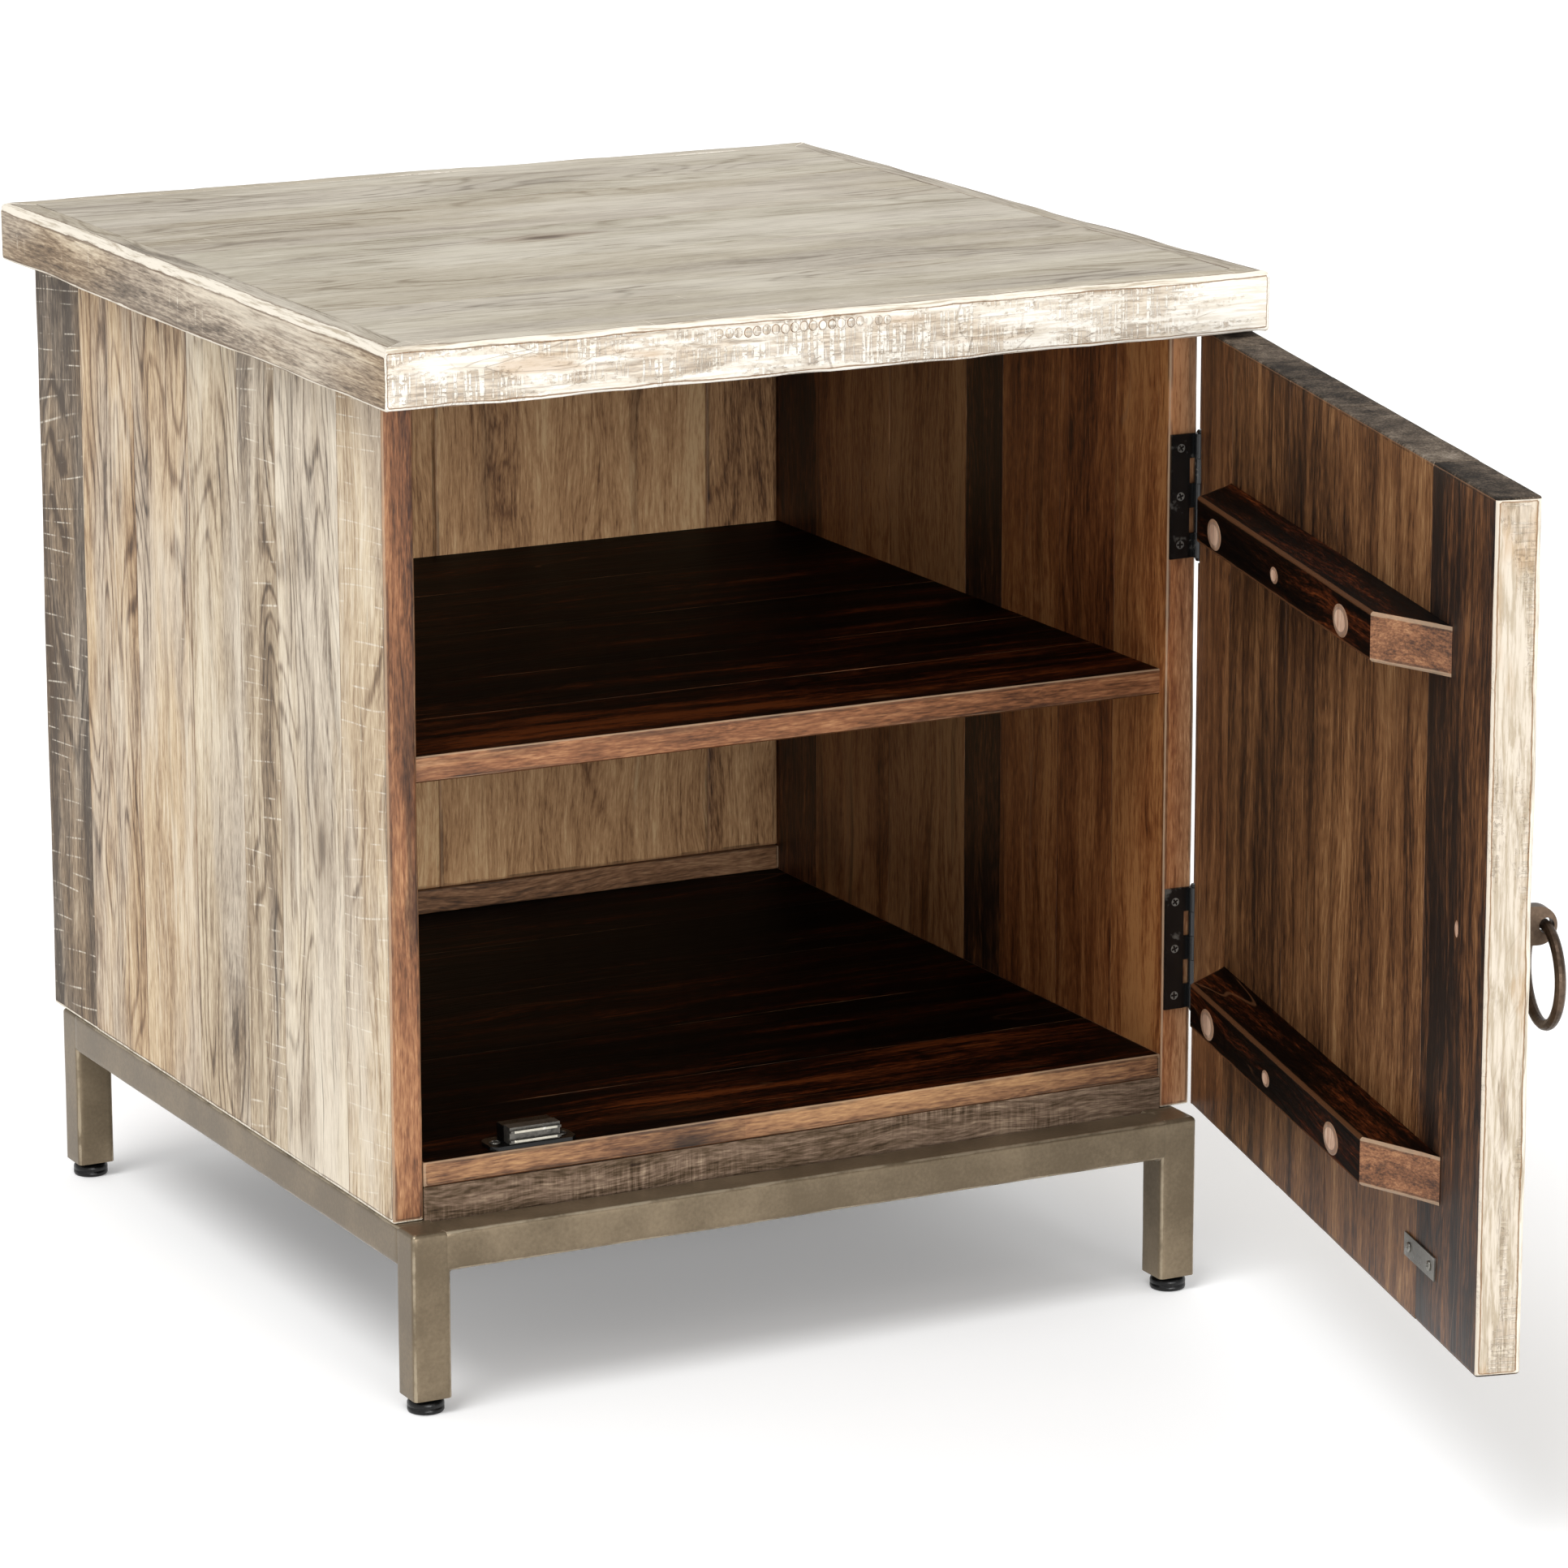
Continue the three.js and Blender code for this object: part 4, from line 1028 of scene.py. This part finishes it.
def door_board(name, span, heights, seed, **options):
    """A board through the door's thickness, between two distances from its hinge edge and two heights."""
    near, far = span
    low, high = heights
    centre = on_door((near + far) / 2, -DOOR_THICKNESS / 2, (low + high) / 2)
    size = (high - low, far - near, DOOR_THICKNESS)
    return board(name, centre, (DOOR_GRAIN, DOOR_ALONG, DOOR_NORMAL), size, seed=seed, **options)


def build_door():
    limits = [0, *DOOR_PLANK_JOINTS, DOOR_WIDTH]
    last = len(DOOR_PLANKS) - 1
    lap = DOOR_JOINT_LAP / 2
    for i, (tone, inner_tone) in enumerate(DOOR_PLANKS):
        radii = [SEAM_RADIUS] * 4
        skins = PLANK_SKINS
        if i == 0:
            radii[2] = HINGE_EDGE_EASE
        if i == last:
            radii[0] = FREE_EDGE_EASE[0]
            radii[3] = FREE_EDGE_EASE[1]
            skins = {**PLANK_SKINS, "right": DOOR_EDGE_WOOD}
        near = limits[i] + (lap if i == 0 else -lap)
        far = limits[i + 1] + (lap if i < last else -lap)
        chip = 0.6 * MM if i in (0, last) else 0.15 * MM
        piece = door_board(f"look_door_plank_{i + 1}", (near, far), (DOOR_BOTTOM, DOOR_TOP), 161 + i,
                           skins=skins, tone=tone, back_tone=inner_tone, radii=radii, end_radius=1.2 * MM,
                           chip=chip, wave=0.15 * MM)
        settle(piece, "door", f"door_plank_{i + 1}")

    build_hinge_edge()
    for name, height in BATTEN_CENTRES.items():
        build_batten(name, height)
    relief("pull_fixing_mark", on_door(PULL_FROM_HINGE, 0, PULL_HEIGHT), DOOR_INWARD, PULL_MARK,
           low_dome(0.5 * MM, 4), PLUG_WOOD, "door", stretch=0.55, seed=207)


HINGE_CLEARANCE = 43 * MM  # half the height that each hinge takes of the door's edge, with its pin
EDGE_FILL = 1.8 * MM
EDGE_FILL_OVERLAP = 0.3 * MM


def build_hinge_edge():
    """The door's hinge edge between its hinges, which stand in it as deep as their leaves are thick."""
    lower, upper = HINGE_CENTRES["lower"], HINGE_CENTRES["upper"]
    spans = [
        (DOOR_BOTTOM, lower - HINGE_CLEARANCE),
        (lower + HINGE_CLEARANCE, upper - HINGE_CLEARANCE),
        (upper + HINGE_CLEARANCE, DOOR_TOP),
    ]
    tone, inner_tone = DOOR_PLANKS[0]
    for i, heights in enumerate(spans):
        piece = door_board(f"door_hinge_edge_{i + 1}", (-EDGE_FILL, EDGE_FILL_OVERLAP), heights, 231 + i,
                           skins=PLANK_SKINS, tone=tone, back_tone=inner_tone, radii=0.5 * MM,
                           end_radius=0.4 * MM, chip=0.1 * MM, wave=0.05 * MM)
        settle(piece, "door")


BATTEN_LIFT = 0.3 * MM
BATTEN_GRAIN_SPREAD = 40  # how far apart the two battens lie in the grain
THINNEST = 0.01 * MM
BATTEN_EASE = 1.2 * MM  # how far the long edges of a batten are eased
BATTEN_TONE = (0.46, 0.5, 0)
BATTEN_PLUGS = [(138 * MM, 9.5 * MM), (260 * MM, 5 * MM), (388 * MM, 9.5 * MM)]  # from the hinge, radius
PLUG_DROP = 2.5 * MM  # the plugs sit a little below the middle of their batten
PLUG_PROUD = 0.4 * MM
PLUG_STRETCH = 1.5


def batten_rise(from_hinge):
    """How far a batten stands off the planks at a distance from the door's hinge edge."""
    from_start = (from_hinge - BATTEN_START) / BATTEN_START_BEVEL
    from_end = (BATTEN_END - from_hinge) / BATTEN_END_BEVEL
    return BATTEN_THICKNESS * min(1, from_start, from_end)


def batten_loop(rise):
    """(height from the batten's middle, stand-off, wear) round one section of a batten."""
    half = BATTEN_HEIGHT / 2
    shoulder = max(rise - BATTEN_EASE, 0)
    lower = [(-half, 0, 0), (-half, max(shoulder - 2 * BATTEN_EASE, 0), 0), (-half, shoulder, 1)]
    lower += [(-half + BATTEN_EASE, rise, 1), (-half + 3 * BATTEN_EASE, rise, 0)]
    return lower + [(-z, w, worn) for z, w, worn in reversed(lower)]


def build_batten(name, height):
    """A batten with both ends bevelled, and the plugs over its fixings."""
    face_start = BATTEN_START + BATTEN_START_BEVEL
    face_end = BATTEN_END - BATTEN_END_BEVEL
    columns = [*np.linspace(BATTEN_START, face_start, 5), *np.linspace(face_start, face_end, 13)[1:]]
    bevel_from = len(columns) - 1
    columns += list(np.linspace(face_end, BATTEN_END, 5)[1:])
    points = []
    grain = []
    wear = []
    for u in columns:
        for z, w, worn in batten_loop(max(batten_rise(u), THINNEST)):
            points.append(on_door(u, BATTEN_LIFT + w, height + z))
            grain.append((u + height * BATTEN_GRAIN_SPREAD, z, w))
            wear.append(worn)
    around = len(batten_loop(BATTEN_THICKNESS))
    marks = []
    for i in range(len(columns) - 1):
        for k in range(around):
            on_bevel = i >= bevel_from and 2 <= k <= around - 4
            marks.append(EDGE_WOOD if on_bevel else STAIN_AND_SHADE_WOOD)
    marks += [EDGE_WOOD, EDGE_WOOD]
    faces = tube_faces(len(columns), around, turned=True)
    piece = solid("look_door_batten_" + name, points, faces, marks, flat=len(faces))
    carry_grain(piece.data, grain, wear, [BATTEN_TONE] * len(points))
    settle(piece, "door", f"door_batten_{name}")

    for i, (at, radius) in enumerate(BATTEN_PLUGS):
        centre = on_door(at, BATTEN_LIFT + BATTEN_THICKNESS, height - PLUG_DROP)
        relief(f"batten_plug_{name}_{i + 1}", centre, DOOR_INWARD, radius, low_dome(PLUG_PROUD, 6),
               PLUG_WOOD, "door", stretch=PLUG_STRETCH, seed=201 + i)


def disc_frame(centre, normal):
    """A matrix that takes a piece lying on the XY plane to centre, with +Z along normal."""
    across = normal.orthogonal().normalized() if abs(normal.z) > 0.9 else Z_AXIS.cross(normal).normalized()
    up = normal.cross(across)
    return frame_of(centre, (across, up, normal))


# On the hinge screw heads this rim is also painted as a glint.
RIM_FROM = 0.66  # where the worn rim of a small round piece begins, as a part of its radius
RIM_WEAR = 1.3
RELIEF_SUNK = 0.4 * MM  # how deep a small round piece stands in what carries it
RELIEF_TONE = (0.55, 0.2, 0)


def relief(name, centre, normal, radius, height, material, body, around=40, rings=9, stretch=1.0,
           seed=1, rim_wear=RIM_WEAR):
    """A low round or oval piece with a worn rim, which on the hinge screw heads is also a painted glint;
    height(x, y) is its top's, for x and y from -1 to 1.
    """
    points = [(0, 0, height(0, 0))]
    wear = [0.0]
    for i in range(1, rings + 1):
        r = radius * i / rings
        for x, y in [(r * c, r * s) for c, s in circle(around)]:
            points.append((x * stretch, y, height(x / radius, y / radius)))
        wear += [rim_wear * max(0.0, (i / rings - RIM_FROM) / (1 - RIM_FROM))] * around
    base = len(points)
    points += [(radius * stretch * c, radius * s, -RELIEF_SUNK) for c, s in circle(around)]
    wear += [rim_wear] * around
    faces = [(0, 1 + k, 1 + (k + 1) % around) for k in range(around)]
    for a in range(1, base, around):
        b = a + around
        faces += [(a + k, b + k, b + (k + 1) % around, a + (k + 1) % around) for k in range(around)]
    faces.append(tuple(base + k for k in range(around))[::-1])
    to_frame = disc_frame(centre, normal)
    piece = solid(name, [to_frame @ Vector(p) for p in points], faces, material, flat=1)
    shift = np.random.default_rng(seed).uniform(-5, 5, 3)
    grain = [(p[1] + shift[0], p[0] + shift[1], p[2] + shift[2]) for p in points]
    carry_grain(piece.data, grain, wear, [RELIEF_TONE] * len(points))
    settle(piece, body)


def low_dome(proud, power):
    """The height of a nearly flat dome that falls away at its rim; a higher power makes it flatter."""
    return lambda x, y: proud * (1 - math.hypot(x, y) ** power)


# A screw's cross recess, in parts of the head's radius
CROSS_HALF_WIDTH = 0.16
CROSS_REACH = 0.58
CROSS_DEPTH = 0.3
HEAD_RIM = 0.02


def screw(name, centre, normal, radius, material, body, turn=0.0, dome=0.28):
    """A head with a cross recess; dome is its height as a part of its radius."""

    def height(x, y):
        r = math.hypot(x, y)
        a = abs(x * math.cos(turn) + y * math.sin(turn))
        b = abs(y * math.cos(turn) - x * math.sin(turn))
        rise = dome * radius * math.sqrt(max(0, 1 - r * r)) + HEAD_RIM * radius
        in_cross = min(a, b) < CROSS_HALF_WIDTH and max(a, b) < CROSS_REACH
        return rise - (CROSS_DEPTH * radius if in_cross else 0)

    relief(name, centre, normal, radius, height, material, body, around=56, rings=16)


SUNK_DOME = 0.03  # countersunk heads clear the closed door
HINGE_SCREW_RISES = (-31 * MM, 0.0, 31 * MM)  # from the middle of the hinge
CABINET_LEAF = (7 * MM, 1.8 * MM)  # where its screws stand from its left edge, and its thickness
DOOR_LEAF = (1.75 * MM, 13.5 * MM)  # where its screws stand from the pin, along the door and outward
POLE_EDGE = 1.6 * MM  # how thick the bright edges of the catch's pole plates are
POLE_ENDS_IN = 2.5 * MM
POLE_PROUD = 0.15 * MM
POLE_OVERLAP = 0.5 * MM
POLE_STARTS = (1.2 * MM, -3.4 * MM)  # from the magnet's foot, and from its top
EAR_SCREW = (11 * MM, 2.4 * MM)  # from the front of the catch, and up from its foot
STRIKE_THICKNESS = 1.6 * MM
STRIKE_SCREW_REACH = 18 * MM  # from the middle of the strike plate to each screw
STRIKE_SCREW = 3 * MM


def build_hardware():
    for place in HINGE_CENTRES:
        for part in ("cabinet_leaf", "door_leaf", "pin"):
            paint(f"hinge_{place}_{part}", BLACK_STEEL)
    paint("catch_magnet", POLE_STEEL)
    paint("strike_plate", PLATED)
    paint("catch_housing", MOULDING)
    paint("pull_eye", BRONZE)
    paint("pull_ring", BRONZE)
    for node in frame["nodes"]:
        if node.startswith("base_screw"):
            paint(node, PLATED)
        if node.startswith("leg_plug"):
            paint(node, MOULDING)

    facing = DOOR_TURN.to_3x3() @ X_AXIS
    for place, height in HINGE_CENTRES.items():
        leaf_low, leaf_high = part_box(f"hinge_{place}_cabinet_leaf")
        for i, rise in enumerate(HINGE_SCREW_RISES):
            on_leaf = (leaf_low.x + CABINET_LEAF[0], leaf_high.y - CABINET_LEAF[1], height + rise)
            screw(f"hinge_screw_{place}_{i + 1}", on_leaf, -Y_AXIS, SCREW_HEAD, SCREW_STEEL,
                  "cabinet", 0.3 * i, SUNK_DOME)
            on_edge = DOOR_TURN @ Vector((-DOOR_LEAF[0], -DOOR_LEAF[1], height + rise))
            screw(f"hinge_door_screw_{place}_{i + 1}", on_edge, facing, SCREW_HEAD, SCREW_STEEL,
                  "door", 0.5 * i)

    low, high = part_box("catch_magnet")
    for i, bottom in enumerate((low.z + POLE_STARTS[0], high.z + POLE_STARTS[1])):
        pole_low = (low.x + POLE_ENDS_IN, low.y - POLE_PROUD, bottom)
        pole_high = (high.x - POLE_ENDS_IN, low.y + POLE_OVERLAP, bottom + POLE_EDGE)
        pole = board_in(f"catch_pole_edge_{i + 1}", pole_low, pole_high, X_AXIS, -Y_AXIS, skins=POLE_BRIGHT,
                        seed=271 + i, radii=0.15 * MM, end_radius=0.2 * MM, chip=0, wave=0)
        settle(pole, "cabinet")

    low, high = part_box("catch_housing")
    for side, x, reach in (("left", low.x + CATCH_EAR, 1), ("right", high.x - CATCH_EAR, -1)):
        on_ear = (x, low.y + EAR_SCREW[0], low.z + EAR_SCREW[1])
        screw(f"catch_screw_{side}", on_ear, Z_AXIS, SCREW_HEAD, POLE_STEEL, "cabinet", 0.6)
        along = CATCH_FROM_HINGE + reach * STRIKE_SCREW_REACH
        on_strike = on_door(along, STRIKE_THICKNESS, STRIKE_HEIGHT)
        screw(f"strike_screw_{side}", on_strike, DOOR_INWARD, STRIKE_SCREW, PLATED,
              "door", 0.4)


def paint(node, material):
    """Gives a CAD node that keeps its shape a finished material."""
    slots = frame["nodes"][node].data.materials
    slots.clear()
    slots.append(material)


# ---- Studio ----


FLOOR_REACH = 60
SKY_STRENGTH = 0.7
SUNS = [  # name, the direction it shines in, strength, and how many degrees wide it is
    ("key_light", (0.55, 0.25, -1.0), 1.5, 30),
    ("front_light", (0.08, 1.0, -0.1), 2.4, 36),
]


def build_studio():
    corners = [(-FLOOR_REACH, -FLOOR_REACH, 0), (FLOOR_REACH, -FLOOR_REACH, 0)]
    corners += [(FLOOR_REACH, FLOOR_REACH, 0), (-FLOOR_REACH, FLOOR_REACH, 0)]
    floor = solid("studio_floor", corners, [(0, 1, 2, 3)], FLOOR, flat=1)

    world = bpy.data.worlds.new("studio")
    world.use_nodes = True
    sky = world.node_tree.nodes["Background"]
    sky.inputs["Color"].default_value = (1, 1, 1, 1)
    sky.inputs["Strength"].default_value = SKY_STRENGTH
    bpy.context.scene.world = world

    for name, toward, strength, spread in SUNS:
        light = bpy.data.lights.new(name, "SUN")
        light.energy = strength
        light.angle = math.radians(spread)
        lamp = bpy.data.objects.new(name, light)
        lamp.rotation_euler = Vector(toward).to_track_quat("-Z", "Y").to_euler()
        bpy.context.collection.objects.link(lamp)


CAMERA_PLACE = (-1.861273, -3.590020, 1.352440)
CAMERA_YAW, CAMERA_PITCH, CAMERA_ROLL = 0.4758, -0.2410, -0.0011
CAMERA_LENS = 154.3


def build_camera():
    """The camera that stood before the open cabinet, a little above it and to its left."""
    yaw, pitch = CAMERA_YAW, CAMERA_PITCH
    forward = Vector((math.sin(yaw) * math.cos(pitch), math.cos(yaw) * math.cos(pitch), math.sin(pitch)))
    right = Vector((math.cos(yaw), -math.sin(yaw), 0))
    up = right.cross(forward)
    turn = Matrix([right, up, -forward]).transposed() @ Matrix.Rotation(CAMERA_ROLL, 3, "Z")
    data = bpy.data.cameras.new("camera")
    data.sensor_width = 36
    data.lens = CAMERA_LENS
    data.clip_end = 200
    camera = bpy.data.objects.new("camera", data)
    camera.matrix_world = Matrix.Translation(CAMERA_PLACE) @ turn.to_4x4()
    bpy.context.collection.objects.link(camera)
    bpy.context.scene.camera = camera


build_camera()
build_studio()
build_top()
build_body()
build_base()
build_door()
build_hardware()
build_tooth_row()
bpy.context.scene.view_settings.view_transform = "Standard"
